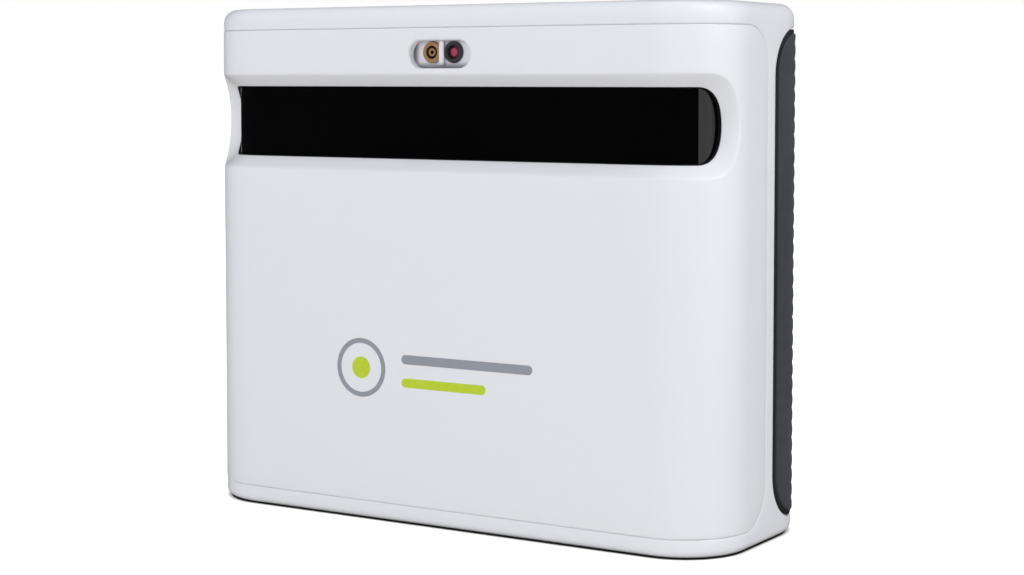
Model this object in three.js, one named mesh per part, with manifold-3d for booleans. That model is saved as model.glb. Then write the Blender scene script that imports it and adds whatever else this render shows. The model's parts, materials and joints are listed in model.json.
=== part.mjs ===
// Camera-based golf launch monitor: a free-standing upright box with a wrap-round optical window.
// Millimetres. +Z is up, the window faces -Y, +X is to the right seen from the front.
// The origin is on the standing surface, under the middle of the body.
import * as THREE from "three";
import { mergeVertices } from "three/addons/utils/BufferGeometryUtils.js";
import Module from "manifold-3d";

const wasm = await Module();
wasm.setup();

// ---- Driving dimensions ----
const WIDTH = 171.5;
const DEPTH = 63.5;
const HEIGHT = 146;
const FRONT_RADIUS = 19.4; // vertical corners beside the window
const REAR_RADIUS = 21;
const TOP_FILLET = 4; // round edge along the top
const BOTTOM_FILLET = 1;
const WALL = 2.4;
const GAP = 0.3; // clearance between pieces that touch
const CORNER_STEPS = 5; // half the flats in each round corner

// Base pad, let into the underside
const PAD_STAND = 0.5; // how far the body stands above the surface
const PAD_THICKNESS = 1.5;
const PAD_INSET = 1.9;

// Front cover, with a seam that turns down the sides
const COVER_TOP = 140.4;
const COVER_BOTTOM = 5.5;
const COVER_DEPTH = 28.3; // measured back from the front face
const COVER_CORNER = 11.5;
const TONGUE = 2; // housing lip behind the seam
const TONGUE_THICKNESS = 1.2;

// Rubber grips on the rear corners
const GRIP_FRONT = 34.9; // measured back from the front face
const GRIP_TOP = 139.1;
const GRIP_BOTTOM = 5.2;
const GRIP_CORNER = 13;
const GRIP_REAR_EDGE = 57; // distance of its rear edge from the middle plane
const GRIP_PROUD = 0.5;
const GRIP_SUNK = 1;

// Window recess. Its edges are straight to the bend angle and half ellipses beyond it.
const WINDOW_Z = 113.2;
const MOUTH = { bend: 47, tip: 75.8, half: 13.5 }; // degrees round the corner, half height
const THROAT = { bend: 40, tip: 69, half: 10.2 };
const THROAT_DEPTH = 3.7;
const THROAT_TIP_EXTRA = 0.7; // the throat lies deeper at its two tips
const BEND_STEPS = 5;
const TIP_STEPS = 7;
const LAST_TIP_ANGLE = 88; // leaves a narrow flat instead of a point
const GASKET_THICKNESS = 0.8;
const PANE_THICKNESS = 2;

// Aperture of the aiming laser and its receiver
const APERTURE_Z = 132.3;
const APERTURE_WIDTH = 19.4;
const APERTURE_HEIGHT = 7.6;
const TUBE_Z = 132.9;
const TUBE_X = 3.5;
const TUBE_RADIUS = 3;
const TUBE_LENGTH = 11;
const TUBE_SINK = WALL + GAP;
const RIB = { web: 0.4, nose: 1, proud: 1.3 }; // upright rib between the tubes, with a wider nose

// Housing screws, in deep wells from the rear
const SCREW_X = 48;
const SCREW_LOW_Z = 14;
const SCREW_HIGH_Z = 133.2;
const WELL_RADIUS = 3.4;
const WELL_FLOOR_Y = 5;
const POST_MEET_Y = -0.7;
const SCREW_SHANK = 1.4;
const SCREW_HOLE = 1.75;

// Main board and what stands on it
const BOARD = { width: 116, height: 62, thickness: 1.6, y: 10, z: 62 };
const BOARD_SCREW = { x: 53, z: 26 }; // offsets from the middle of the board

// Optics
const BRACKET = { width: 118, height: 26, thickness: 2, y: -10, z: 112 };
const BRACKET_SCREW = { x: 44, z: 96.5 };
const CAMERA_X = 39;
const LENS_RADIUS = 7;
const FLASH_X = 14;
const LED_OFFSET = 6;

// Rear control panel
const PANEL = { width: 76, height: 20, z: 30, recess: 0.4 };
const BUTTON = { x: -26, radius: 4.5, proud: 1, travel: 0.8 };
const KNOB = { x: 22, width: 4.4, height: 4, travel: 4 };
const USB_X = 4;
const LIGHT_X = -10;

const FRONT = -DEPTH / 2;
const REAR = DEPTH / 2;
const FLAT = WIDTH / 2 - FRONT_RADIUS; // half of the flat stretch of the front

// ---- Solids ----
function solid(geometry) {
  const bare = geometry.clone();
  bare.deleteAttribute("normal");
  bare.deleteAttribute("uv");
  const merged = mergeVertices(bare);
  return new wasm.Manifold(
    new wasm.Mesh({
      numProp: 3,
      vertProperties: new Float32Array(merged.attributes.position.array),
      triVerts: new Uint32Array(merged.index.array),
    }),
  );
}

function surface(manifold) {
  const mesh = manifold.getMesh();
  const geometry = new THREE.BufferGeometry();
  geometry.setAttribute("position", new THREE.BufferAttribute(mesh.vertProperties, 3));
  geometry.setIndex(new THREE.BufferAttribute(mesh.triVerts, 1));
  geometry.computeVertexNormals();
  return geometry;
}

// A box between two corners.
function slab(x0, x1, y0, y1, z0, z1) {
  const geometry = new THREE.BoxGeometry(x1 - x0, y1 - y0, z1 - z0);
  geometry.translate((x0 + x1) / 2, (y0 + y1) / 2, (z0 + z1) / 2);
  return solid(geometry);
}

// A round rod along Y.
function rod(radius, x, z, y0, y1, sides = 16) {
  const geometry = new THREE.CylinderGeometry(radius, radius, y1 - y0, sides);
  geometry.translate(x, (y0 + y1) / 2, z);
  return solid(geometry);
}

// A rectangle with round corners, centred on the origin.
function roundedRectangle(width, height, radius) {
  const x = width / 2 - radius;
  const y = height / 2 - radius;
  const shape = new THREE.Shape();
  shape.absarc(x, y, radius, 0, Math.PI / 2);
  shape.absarc(-x, y, radius, Math.PI / 2, Math.PI);
  shape.absarc(-x, -y, radius, Math.PI, Math.PI * 1.5);
  shape.absarc(x, -y, radius, Math.PI * 1.5, Math.PI * 2);
  return shape;
}

// A plate with round corners that faces along Y.
function facingPlate(width, height, radius, x, z, y0, y1, curveSegments = 2) {
  const options = { depth: y1 - y0, bevelEnabled: false, curveSegments };
  const geometry = new THREE.ExtrudeGeometry(roundedRectangle(width, height, radius), options);
  geometry.rotateX(Math.PI / 2);
  geometry.translate(x, y1, z);
  return solid(geometry);
}

// A block with round corners seen from the side, right across the body.
function sideBlock(y0, y1, z0, z1, radius) {
  const options = { depth: WIDTH + 20, bevelEnabled: false, curveSegments: 4 };
  const geometry = new THREE.ExtrudeGeometry(roundedRectangle(y1 - y0, z1 - z0, radius), options);
  geometry.rotateX(Math.PI / 2);
  geometry.rotateZ(Math.PI / 2);
  geometry.translate(-WIDTH / 2 - 10, (y0 + y1) / 2, (z0 + z1) / 2);
  return solid(geometry);
}

// The outline of the body seen from above, moved inwards by an inset.
function planShape(inset) {
  const x = WIDTH / 2;
  const front = FRONT_RADIUS - inset;
  const rear = REAR_RADIUS - inset;
  const shape = new THREE.Shape();
  shape.absarc(x - REAR_RADIUS, REAR - REAR_RADIUS, rear, 0, Math.PI / 2);
  shape.absarc(REAR_RADIUS - x, REAR - REAR_RADIUS, rear, Math.PI / 2, Math.PI);
  shape.absarc(FRONT_RADIUS - x, FRONT + FRONT_RADIUS, front, Math.PI, Math.PI * 1.5);
  shape.absarc(x - FRONT_RADIUS, FRONT + FRONT_RADIUS, front, Math.PI * 1.5, Math.PI * 2);
  return shape;
}

// An upright block on the plan outline, with round edges at both ends.
function roundEnded(fillet, z0, z1) {
  const geometry = new THREE.ExtrudeGeometry(planShape(0), {
    depth: z1 - z0 - 2 * fillet,
    bevelThickness: fillet,
    bevelSize: fillet,
    bevelOffset: -fillet,
    bevelSegments: 3,
    curveSegments: CORNER_STEPS,
  });
  geometry.translate(0, 0, z0 + fillet);
  return solid(geometry);
}

// The whole outer body: a full round edge along the top, a small one along the bottom.
function outerBody() {
  const upper = roundEnded(TOP_FILLET, PAD_STAND - 2 * TOP_FILLET, HEIGHT);
  return upper.intersect(roundEnded(BOTTOM_FILLET, PAD_STAND, HEIGHT + 2 * TOP_FILLET));
}

// A straight-sided block with the plan outline moved inwards by an inset.
function prism(inset, z0, z1) {
  const options = { depth: z1 - z0, bevelEnabled: false, curveSegments: CORNER_STEPS };
  const geometry = new THREE.ExtrudeGeometry(planShape(inset), options);
  geometry.translate(0, 0, z0);
  return solid(geometry);
}

// A layer that follows the upright walls, between two insets.
function wallLayer(outer, inner) {
  return prism(outer, WALL, HEIGHT - WALL).subtract(prism(inner, 0, HEIGHT));
}

// A closed skin through rings of equal length, with a fan over each end.
function loft(rings) {
  const count = rings[0].length;
  const last = (rings.length - 1) * count;
  const index = [];
  for (let ring = 0; ring < rings.length - 1; ring++) {
    for (let i = 0; i < count; i++) {
      const a = ring * count + i;
      const b = ring * count + ((i + 1) % count);
      index.push(a, b, b + count, a, b + count, a + count);
    }
  }
  for (let i = 1; i < count - 1; i++) {
    index.push(0, i + 1, i, last, last + i, last + i + 1);
  }
  const geometry = new THREE.BufferGeometry();
  geometry.setAttribute("position", new THREE.Float32BufferAttribute(rings.flat(2), 3));
  geometry.setIndex(index);
  return solid(geometry);
}

// ---- Window, laid out along the wall and bent round the front corners ----
// A point at distance `run` along the outline from the middle of the front, `sink` below the surface.
function onWall(run, sink, z) {
  const past = Math.abs(run) - FLAT;
  if (past <= 0) {
    return [run, FRONT + sink, z];
  }
  const angle = past / FRONT_RADIUS;
  const radius = FRONT_RADIUS - sink;
  const x = Math.sign(run) * (FLAT + radius * Math.sin(angle));
  return [x, FRONT + FRONT_RADIUS - radius * Math.cos(angle), z];
}

function alongCorner(degrees) {
  return FLAT + THREE.MathUtils.degToRad(degrees) * FRONT_RADIUS;
}

// Stations of a window outline from its left tip to its right tip: run, half height, tip fraction.
function stations(outline, grow = 0, growTip = grow) {
  const bend = alongCorner(outline.bend);
  const tip = alongCorner(outline.tip) + growTip;
  const half = outline.half + grow;
  const right = [];
  for (let i = 0; i <= BEND_STEPS; i++) {
    right.push([FLAT + ((bend - FLAT) * i) / BEND_STEPS, half, 0]);
  }
  for (let i = 1; i <= TIP_STEPS; i++) {
    const angle = THREE.MathUtils.degToRad((LAST_TIP_ANGLE * i) / TIP_STEPS);
    right.push([bend + (tip - bend) * Math.sin(angle), half * Math.cos(angle), Math.sin(angle) ** 2]);
  }
  const left = right.map(([run, height, fraction]) => [-run, height, fraction]).reverse();
  return [...left, ...right];
}

// A solid whose section at each station runs through the given layers, from the outside inwards.
// A layer is an outline and a depth; `follows` adds the extra depth of the throat at the tips.
function windowBlock(layers) {
  const rings = layers[0].outline.map((_, i) => {
    const edge = (sign) =>
      layers.map(({ outline, sink, follows = 1 }) => {
        const [run, height, fraction] = outline[i];
        return onWall(run, sink + follows * THROAT_TIP_EXTRA * fraction, WINDOW_Z + sign * height);
      });
    return [...edge(1).reverse(), ...edge(-1)];
  });
  return loft(rings);
}

function windowSlab(outline, front, back) {
  return windowBlock([
    { outline, sink: front },
    { outline, sink: back },
  ]);
}

function windowRecess() {
  return windowBlock([
    { outline: stations(MOUTH), sink: -2, follows: 0 },
    { outline: stations(MOUTH), sink: 0, follows: 0 },
    { outline: stations(THROAT), sink: THROAT_DEPTH },
    { outline: stations(THROAT), sink: THROAT_DEPTH + 5 },
  ]);
}

// The thick rim that carries the sloped sides of the recess.
function windowRim() {
  return windowBlock([
    { outline: stations(MOUTH, 0.6, 1.6), sink: WALL - 1, follows: 0 },
    { outline: stations(THROAT, 3.4, 4.5), sink: THROAT_DEPTH },
  ]);
}

function windowPane() {
  const front = THROAT_DEPTH + GASKET_THICKNESS + 2 * GAP;
  return windowSlab(stations(THROAT, 0.8), front, front + PANE_THICKNESS);
}

function windowGasket() {
  const front = THROAT_DEPTH + GAP;
  const back = front + GASKET_THICKNESS;
  const whole = windowSlab(stations(THROAT, 1.5), front, back);
  return whole.subtract(windowSlab(stations(THROAT, -0.4, -2.2), front - 1, back + 1));
}

// ---- Shells ----
const shell = outerBody().subtract(prism(WALL, PAD_STAND + WALL, HEIGHT - WALL));
const screwPlaces = [-SCREW_X, SCREW_X].flatMap((x) => [SCREW_LOW_Z, SCREW_HIGH_Z].map((z) => [x, z]));
const boardScrewPlaces = [-1, 1].flatMap((sideX) =>
  [-1, 1].map((sideZ) => [sideX * BOARD_SCREW.x, BOARD.z + sideZ * BOARD_SCREW.z]),
);
const bracketScrewPlaces = [-BRACKET_SCREW.x, BRACKET_SCREW.x].map((x) => [x, BRACKET_SCREW.z]);

// The side-view zone that the front cover fills, grown by a margin.
function coverZone(margin) {
  const back = FRONT + COVER_DEPTH + margin;
  const radius = COVER_CORNER + margin;
  return sideBlock(FRONT - 40, back, COVER_BOTTOM - margin, COVER_TOP + margin, radius);
}

function frontCover() {
  let cover = shell.intersect(coverZone(0));
  cover = cover.add(windowRim());
  for (const [x, z] of screwPlaces) {
    cover = cover.add(rod(3.5, x, z, FRONT + WALL / 2, POST_MEET_Y - GAP));
    cover = cover.subtract(rod(SCREW_HOLE, x, z, -17, 0, 10));
  }
  for (const [x, z] of bracketScrewPlaces) {
    cover = cover.add(rod(3.2, x, z, FRONT + WALL / 2, BRACKET.y - GAP));
    cover = cover.subtract(rod(SCREW_HOLE, x, z, -21, 0, 10));
  }
  const aperture = [APERTURE_WIDTH, APERTURE_HEIGHT, APERTURE_HEIGHT / 2 - 0.01];
  cover = cover.subtract(facingPlate(...aperture, 0, APERTURE_Z, FRONT - 1, FRONT + 5, 5));
  return cover.subtract(windowRecess());
}

// The lip that backs the seam: joined to the housing outside the seam, clear of the cover inside it.
function seamTongue() {
  const inner = WALL + GAP + TONGUE_THICKNESS;
  const band = coverZone(TONGUE).subtract(coverZone(-TONGUE));
  const clear = wallLayer(WALL + GAP, inner).intersect(band);
  const joint = wallLayer(WALL / 2, inner).intersect(band).subtract(coverZone(GAP));
  return clear.add(joint);
}

// The zone of one grip, grown by a margin: rounded in side view and in rear view.
function gripZone(side, margin) {
  const front = FRONT + GRIP_FRONT - margin;
  const low = GRIP_BOTTOM - margin;
  const high = GRIP_TOP + margin;
  const radius = GRIP_CORNER + margin;
  const middle = side * (GRIP_REAR_EDGE - margin + 50);
  const rearView = facingPlate(100, high - low, radius, middle, (low + high) / 2, FRONT, REAR + 5, 4);
  return sideBlock(front, REAR + 40, low, high, radius).intersect(rearView);
}

function grip(side) {
  return wallLayer(-GRIP_PROUD, GRIP_SUNK).intersect(gripZone(side, 0));
}

function rearHousing() {
  let housing = shell.subtract(coverZone(GAP)).add(seamTongue());
  const gripBed = wallLayer(-2, GRIP_SUNK + GAP);
  for (const side of [-1, 1]) {
    housing = housing.subtract(gripBed.intersect(gripZone(side, GAP)));
  }
  for (const [x, z] of screwPlaces) {
    housing = housing.add(rod(WELL_RADIUS + 1.6, x, z, POST_MEET_Y, REAR - WALL / 2));
    housing = housing.subtract(rod(WELL_RADIUS, x, z, WELL_FLOOR_Y, REAR + 1));
    housing = housing.subtract(rod(SCREW_HOLE, x, z, POST_MEET_Y - 1, WELL_FLOOR_Y + 1, 10));
  }
  for (const [x, z] of boardScrewPlaces) {
    housing = housing.add(rod(3, x, z, BOARD.y + BOARD.thickness + GAP, REAR - WALL / 2, 16));
    housing = housing.subtract(rod(SCREW_HOLE, x, z, BOARD.y, BOARD.y + 9, 10));
  }
  const { width, height, z } = PANEL;
  const panelHole = facingPlate(width + 2 * GAP, height + 2 * GAP, 4 + GAP, 0, z, REAR - 6, REAR + 1);
  return housing.subtract(panelHole).subtract(padBed());
}

// ---- Base pad ----
const basePad = () => prism(PAD_INSET, 0, PAD_THICKNESS);
const padBed = () => prism(PAD_INSET - GAP, -1, PAD_THICKNESS + GAP);

// ---- Aperture ----
function apertureInsert() {
  const front = FRONT + TUBE_SINK;
  const floor = front + 0.8;
  const height = APERTURE_HEIGHT + 0.4;
  const well = facingPlate(20.4, height, height / 2 - 0.01, 0, TUBE_Z - 0.3, front - 1, floor, 5);
  let insert = facingPlate(25, 10, 4, 0, TUBE_Z, front, floor + 3).subtract(well);
  for (const x of [-TUBE_X, TUBE_X]) {
    insert = insert.subtract(rod(TUBE_RADIUS + GAP, x, TUBE_Z, floor - 5, floor + 5));
  }
  const low = APERTURE_Z - APERTURE_HEIGHT / 2 + 0.4;
  const high = APERTURE_Z + APERTURE_HEIGHT / 2 - 0.4;
  const web = slab(-RIB.web / 2, RIB.web / 2, front - 0.5, floor + 0.5, low, high);
  const nose = slab(-RIB.nose / 2, RIB.nose / 2, front - RIB.proud, front - GAP, low, high);
  return insert.add(web).add(nose);
}

function tube(x, bore) {
  const front = FRONT + TUBE_SINK;
  const barrel = rod(TUBE_RADIUS, x, TUBE_Z, front, front + TUBE_LENGTH, 20);
  return barrel.subtract(rod(bore, x, TUBE_Z, front - 1, front + TUBE_LENGTH + 1));
}

const behindTubes = FRONT + TUBE_SINK + TUBE_LENGTH + GAP;
const laserDiode = () => rod(2.6, -TUBE_X, TUBE_Z, behindTubes, behindTubes + 2.4, 16);
const receiverChip = () => facingPlate(4, 4, 0.3, TUBE_X, TUBE_Z, behindTubes, behindTubes + 1.4, 1);
const receiverLens = () => rod(1.9, TUBE_X, TUBE_Z, FRONT + TUBE_SINK + 0.6, FRONT + TUBE_SINK + 2);

function apertureBoard() {
  const front = behindTubes + 2.4 + GAP;
  return facingPlate(26, 13, 1, 0, TUBE_Z, front, front + 1.2);
}

// ---- Screws: a round head on a shank, driven towards -Y ----
function screw(x, z, seat, shankLength, headRadius, headHeight) {
  const head = rod(headRadius, x, z, seat, seat + headHeight, 14);
  const shank = rod(SCREW_SHANK, x, z, seat - shankLength, seat + headHeight / 2, 8);
  const driveRecess = rod(headRadius * 0.45, x, z, seat + headHeight * 0.5, seat + headHeight + 1, 6);
  return head.add(shank).subtract(driveRecess);
}

function boardScrew(x, z) {
  const seat = BOARD.y - GAP;
  const head = rod(2.7, x, z, seat - 1.8, seat, 14);
  const shank = rod(SCREW_SHANK, x, z, seat - 1, seat + 8, 8);
  return head.add(shank).subtract(rod(1.2, x, z, seat - 3, seat - 1, 6));
}

// ---- Optics behind the window ----
function opticsBracket() {
  const { width, height, thickness, y, z } = BRACKET;
  let bracket = facingPlate(width, height, 3, 0, z, y, y + thickness);
  for (const [x, screwZ] of bracketScrewPlaces) {
    bracket = bracket.add(facingPlate(9, 12, 3, x, screwZ + 2, y, y + thickness));
    bracket = bracket.subtract(rod(SCREW_HOLE, x, screwZ, y - 1, y + thickness + 1, 10));
  }
  for (const side of [-1, 1]) {
    bracket = bracket.subtract(facingPlate(20.6, 20.6, 2, side * CAMERA_X, WINDOW_Z, y - 1, y + 4));
  }
  return bracket;
}

const HOLDER_BACK = BRACKET.y + BRACKET.thickness + 1.4;

function lensHolder(x) {
  const front = BRACKET.y - 5;
  const holder = facingPlate(20, 20, 2, x, WINDOW_Z, front, HOLDER_BACK);
  return holder.subtract(rod(LENS_RADIUS + GAP, x, WINDOW_Z, front - 1, HOLDER_BACK + 1, 20));
}

function lensBarrel(x) {
  const barrel = rod(LENS_RADIUS, x, WINDOW_Z, BRACKET.y - 12, BRACKET.y, 20);
  const bore = rod(5, x, WINDOW_Z, BRACKET.y - 20, BRACKET.y + 10);
  return barrel.subtract(bore);
}

// A front lens element with a domed face.
function frontLens(x) {
  const profile = [new THREE.Vector2(0, 0)];
  profile.push(new THREE.Vector2(4.6, 0), new THREE.Vector2(4.6, 1));
  for (let i = 1; i <= 4; i++) {
    const angle = (Math.PI / 2) * (i / 4);
    profile.push(new THREE.Vector2(4.6 * Math.cos(angle), 1 + 1.3 * Math.sin(angle)));
  }
  profile[profile.length - 1].x = 0;
  const geometry = new THREE.LatheGeometry(profile, 16);
  geometry.rotateX(Math.PI);
  geometry.translate(x, BRACKET.y - 8.6, WINDOW_Z);
  return geometry;
}

function imageSensor(x) {
  const back = HOLDER_BACK;
  return slab(x - 4, x + 4, back - 1.2, back, WINDOW_Z - 3.5, WINDOW_Z + 3.5);
}

function cameraBoard(x) {
  const front = HOLDER_BACK + GAP;
  return facingPlate(28, 24, 1, x, WINDOW_Z, front, front + 1.4);
}

const FLASH_FRONT = BRACKET.y - GAP - 1.4;

function flashBoard(x) {
  return facingPlate(24, 20, 1, x, WINDOW_Z, FLASH_FRONT, FLASH_FRONT + 1.4);
}

function flashLed(x, z) {
  const back = FLASH_FRONT - GAP;
  const lens = rod(1.7, x, z, back - 2.6, back - 1, 16);
  return slab(x - 2.5, x + 2.5, back - 1.4, back, z - 2.5, z + 2.5).add(lens);
}

// ---- Boards, battery and cables ----
function mainBoard() {
  const { width, height, thickness, y, z } = BOARD;
  let board = facingPlate(width, height, 2, 0, z, y, y + thickness);
  for (const [x, screwZ] of boardScrewPlaces) {
    board = board.subtract(rod(SCREW_HOLE, x, screwZ, y - 1, y + 3, 10));
  }
  return board;
}

// A finned plate over the processor.
function heatSpreader() {
  const back = BOARD.y - GAP;
  let spreader = slab(-20, 20, back - 2, back, 56, 88);
  for (let i = 0; i < 8; i++) {
    const x = -19 + i * 5.2;
    spreader = spreader.add(slab(x, x + 1.4, back - 6, back - 1, 56, 88));
  }
  return spreader;
}

function onBoardFront(width, height, thickness, x, z) {
  const back = BOARD.y - GAP;
  return slab(x - width / 2, x + width / 2, back - thickness, back, z - height / 2, z + height / 2);
}

const CELL = { radius: 9.2, length: 65, y: -14, low: 24, pitch: 20 };

function batteryCell(row) {
  const geometry = new THREE.CylinderGeometry(CELL.radius, CELL.radius, CELL.length, 24);
  geometry.rotateZ(Math.PI / 2);
  geometry.translate(0, CELL.y, CELL.low + row * CELL.pitch);
  return geometry;
}

function batteryTray() {
  const half = CELL.length / 2 + 3;
  const back = CELL.y + CELL.radius + 2.6;
  const low = CELL.low - CELL.radius - 2;
  const high = CELL.low + CELL.pitch + CELL.radius + 2;
  const block = slab(-half, half, CELL.y - 2, back, low, high);
  const room = slab(-half + 2, half - 2, CELL.y - 20, back - 2, low + 1.5, high - 1.5);
  return block.subtract(room);
}

// A flat cable from a camera board down to the main board, bent twice.
function ribbonCable(x) {
  const top = WINDOW_Z - 8;
  const start = HOLDER_BACK + 2 * GAP + 1.4;
  const end = BOARD.y - GAP - 0.4;
  const path = new THREE.Shape();
  path.moveTo(start, top);
  path.lineTo(start, 98);
  path.lineTo(end, 94);
  path.lineTo(end, 86);
  path.lineTo(end + 0.4, 86);
  path.lineTo(end + 0.4, 94.3);
  path.lineTo(start + 0.4, 98.3);
  path.lineTo(start + 0.4, top);
  const geometry = new THREE.ExtrudeGeometry(path, { depth: 12, bevelEnabled: false });
  geometry.rotateX(Math.PI / 2);
  geometry.rotateZ(Math.PI / 2);
  geometry.translate(x - 6, 0, 0);
  return geometry;
}

// ---- Rear control panel ----
const PANEL_OUT = REAR - PANEL.recess;
const PANEL_IN = REAR - WALL - GAP - 1;
const CONTROL_BOARD_Y = 19;

function controlPanel() {
  const { width, height, z } = PANEL;
  let panel = facingPlate(width, height, 4, 0, z, PANEL_IN, PANEL_OUT);
  panel = panel.add(facingPlate(width + 4, height + 4, 5, 0, z, PANEL_IN, PANEL_IN + 1));
  panel = panel.subtract(rod(BUTTON.radius + GAP, BUTTON.x, z, PANEL_IN - 1, REAR + 1, 24));
  panel = panel.subtract(rod(1.5 + GAP, LIGHT_X, z, PANEL_IN - 1, REAR + 1, 16));
  panel = panel.subtract(facingPlate(8.4, 3.6, 1.2, USB_X, z, PANEL_IN - 1, REAR + 1));
  const slotWidth = KNOB.width + KNOB.travel + 2 * GAP;
  const slotMiddle = KNOB.x + KNOB.travel / 2;
  const slot = facingPlate(slotWidth, KNOB.height + 2 * GAP, 1, slotMiddle, z, PANEL_IN - 1, REAR + 1);
  return panel.subtract(slot);
}

// The cap stands proud of the panel; a collar behind the panel keeps it in.
function powerButton() {
  const cap = rod(BUTTON.radius, BUTTON.x, PANEL.z, PANEL_IN - GAP - 1, PANEL_OUT + BUTTON.proud, 24);
  const collar = rod(BUTTON.radius + 1.3, BUTTON.x, PANEL.z, PANEL_IN - GAP - 1, PANEL_IN - GAP, 24);
  const stem = rod(1.6, BUTTON.x, PANEL.z, PANEL_IN - GAP - 2, PANEL_IN - GAP, 16);
  return cap.add(collar).add(stem);
}

function buttonSwitch() {
  const top = PANEL_IN - GAP - 2 - BUTTON.travel - GAP;
  const bottom = CONTROL_BOARD_Y + 1.6 + GAP;
  const base = slab(BUTTON.x - 3, BUTTON.x + 3, bottom, top - 0.8, PANEL.z - 3, PANEL.z + 3);
  return base.add(rod(1.7, BUTTON.x, PANEL.z, bottom + 0.5, top, 16));
}

function controlBoard() {
  return facingPlate(70, 17, 1, 0, PANEL.z, CONTROL_BOARD_Y, CONTROL_BOARD_Y + 1.6);
}

// The slide switch has a channel for the foot of its knob.
function slideSwitchBody() {
  const middle = KNOB.x + KNOB.travel / 2;
  const bottom = CONTROL_BOARD_Y + 1.6 + GAP;
  const top = PANEL_IN - 1.5;
  const block = slab(middle - 6, middle + 6, bottom, top, PANEL.z - 3, PANEL.z + 3);
  return block.subtract(slab(middle - 4, middle + 4, bottom + 2, top + 1, PANEL.z - 1.4, PANEL.z + 1.4));
}

function modeKnob() {
  const { x, width, height } = KNOB;
  const foot = CONTROL_BOARD_Y + 1.6 + GAP + 2 + 1;
  const z = PANEL.z;
  const cap = facingPlate(width, height, 0.8, x, z, PANEL_IN - 0.5, PANEL_OUT + 0.9);
  return cap.add(slab(x - 1, x + 1, foot, PANEL_IN, z - 1, z + 1));
}

function usbSocket() {
  const shellPiece = facingPlate(7.6, 2.8, 0.9, USB_X, PANEL.z, CONTROL_BOARD_Y + 1.6 + GAP, PANEL_OUT - 0.2);
  const mouth = facingPlate(6.8, 2, 0.6, USB_X, PANEL.z, PANEL_OUT - 5.5, PANEL_OUT + 1);
  const tongue = slab(USB_X - 2, USB_X + 2, PANEL_OUT - 6, PANEL_OUT - 1.2, PANEL.z - 0.3, PANEL.z + 0.3);
  return shellPiece.subtract(mouth).add(tongue);
}

const lightPipe = () => rod(1.5, LIGHT_X, PANEL.z, CONTROL_BOARD_Y + 1.6 + GAP, PANEL_OUT + 0.2, 20);

// ---- Materials ----
function finish(color, roughness, metalness = 0) {
  return () => new THREE.MeshStandardMaterial({ color, roughness, metalness });
}

const whitePlastic = finish(0xe4e3ea, 0.35);
const greyRubber = finish(0x3f4247, 0.75);
const blackRubber = finish(0x17181a, 0.85);
const blackGlass = finish(0x0b0c0e, 0.08);
const blackPlastic = finish(0x1a1b1e, 0.5);
const greyPlastic = finish(0x6d7076, 0.5);
const brass = finish(0xc9a24e, 0.3, 1);
const pinkGlass = finish(0xc7405c, 0.1);
const clearPlastic = finish(0xd9e6ee, 0.15);
const boardGreen = finish(0x1f5a3a, 0.45);
const aluminium = finish(0xa9adb2, 0.4, 1);
const steel = finish(0x8b8f94, 0.3, 1);
const lensGlass = finish(0x2a3350, 0.05);
const chipBlack = finish(0x202226, 0.4);
const cellWrap = finish(0x2f6f9e, 0.4);
const amberFilm = finish(0xb5722a, 0.4);

// ---- Assembly ----
const group = new THREE.Group();

function place(name, shape, material) {
  const geometry = shape.isBufferGeometry ? shape : surface(shape);
  const mesh = new THREE.Mesh(geometry, material());
  mesh.name = name;
  group.add(mesh);
}

place("front_cover", frontCover(), whitePlastic);
place("rear_housing", rearHousing(), whitePlastic);
place("grip_right", grip(1), greyRubber);
place("grip_left", grip(-1), greyRubber);
place("base_pad", basePad(), blackRubber);
place("window_pane", windowPane(), blackGlass);
place("window_gasket", windowGasket(), blackRubber);

place("aperture_insert", apertureInsert(), whitePlastic);
place("laser_barrel", tube(-TUBE_X, 1.5), brass);
place("laser_diode", laserDiode(), steel);
place("receiver_tube", tube(TUBE_X, 2.2), blackPlastic);
place("receiver_lens", receiverLens(), pinkGlass);
place("receiver_chip", receiverChip(), chipBlack);
place("aperture_board", apertureBoard(), boardGreen);

screwPlaces.forEach(([x, z], i) => {
  place(`housing_screw_${i + 1}`, screw(x, z, WELL_FLOOR_Y + GAP, 20, 2.9, 2.2), steel);
});

place("optics_bracket", opticsBracket(), aluminium);
bracketScrewPlaces.forEach(([x, z], i) => {
  const seat = BRACKET.y + BRACKET.thickness + GAP;
  place(`bracket_screw_${i + 1}`, screw(x, z, seat, 11, 2.7, 1.8), steel);
});

[-CAMERA_X, CAMERA_X].forEach((x, i) => {
  const number = i + 1;
  place(`lens_holder_${number}`, lensHolder(x), blackPlastic);
  place(`lens_barrel_${number}`, lensBarrel(x), blackPlastic);
  place(`front_lens_${number}`, frontLens(x), lensGlass);
  place(`image_sensor_${number}`, imageSensor(x), chipBlack);
  place(`camera_board_${number}`, cameraBoard(x), boardGreen);
  place(`ribbon_cable_${number}`, ribbonCable(x), amberFilm);
});

[-FLASH_X, FLASH_X].forEach((x, i) => {
  place(`flash_board_${i + 1}`, flashBoard(x), boardGreen);
  [-LED_OFFSET, LED_OFFSET].forEach((offset, j) => {
    place(`flash_led_${i * 2 + j + 1}`, flashLed(x + offset, WINDOW_Z), clearPlastic);
  });
});

place("main_board", mainBoard(), boardGreen);
boardScrewPlaces.forEach(([x, z], i) => {
  place(`board_screw_${i + 1}`, boardScrew(x, z), steel);
});
place("heat_spreader", heatSpreader(), aluminium);
place("radio_module", onBoardFront(18, 13, 2.6, 40, 70), steel);
place("tilt_sensor", onBoardFront(5, 5, 1.2, -40, 40), chipBlack);
place("antenna_strip", slab(-22, 22, REAR - WALL - GAP - 0.5, REAR - WALL - GAP, 112, 119), amberFilm);

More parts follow.
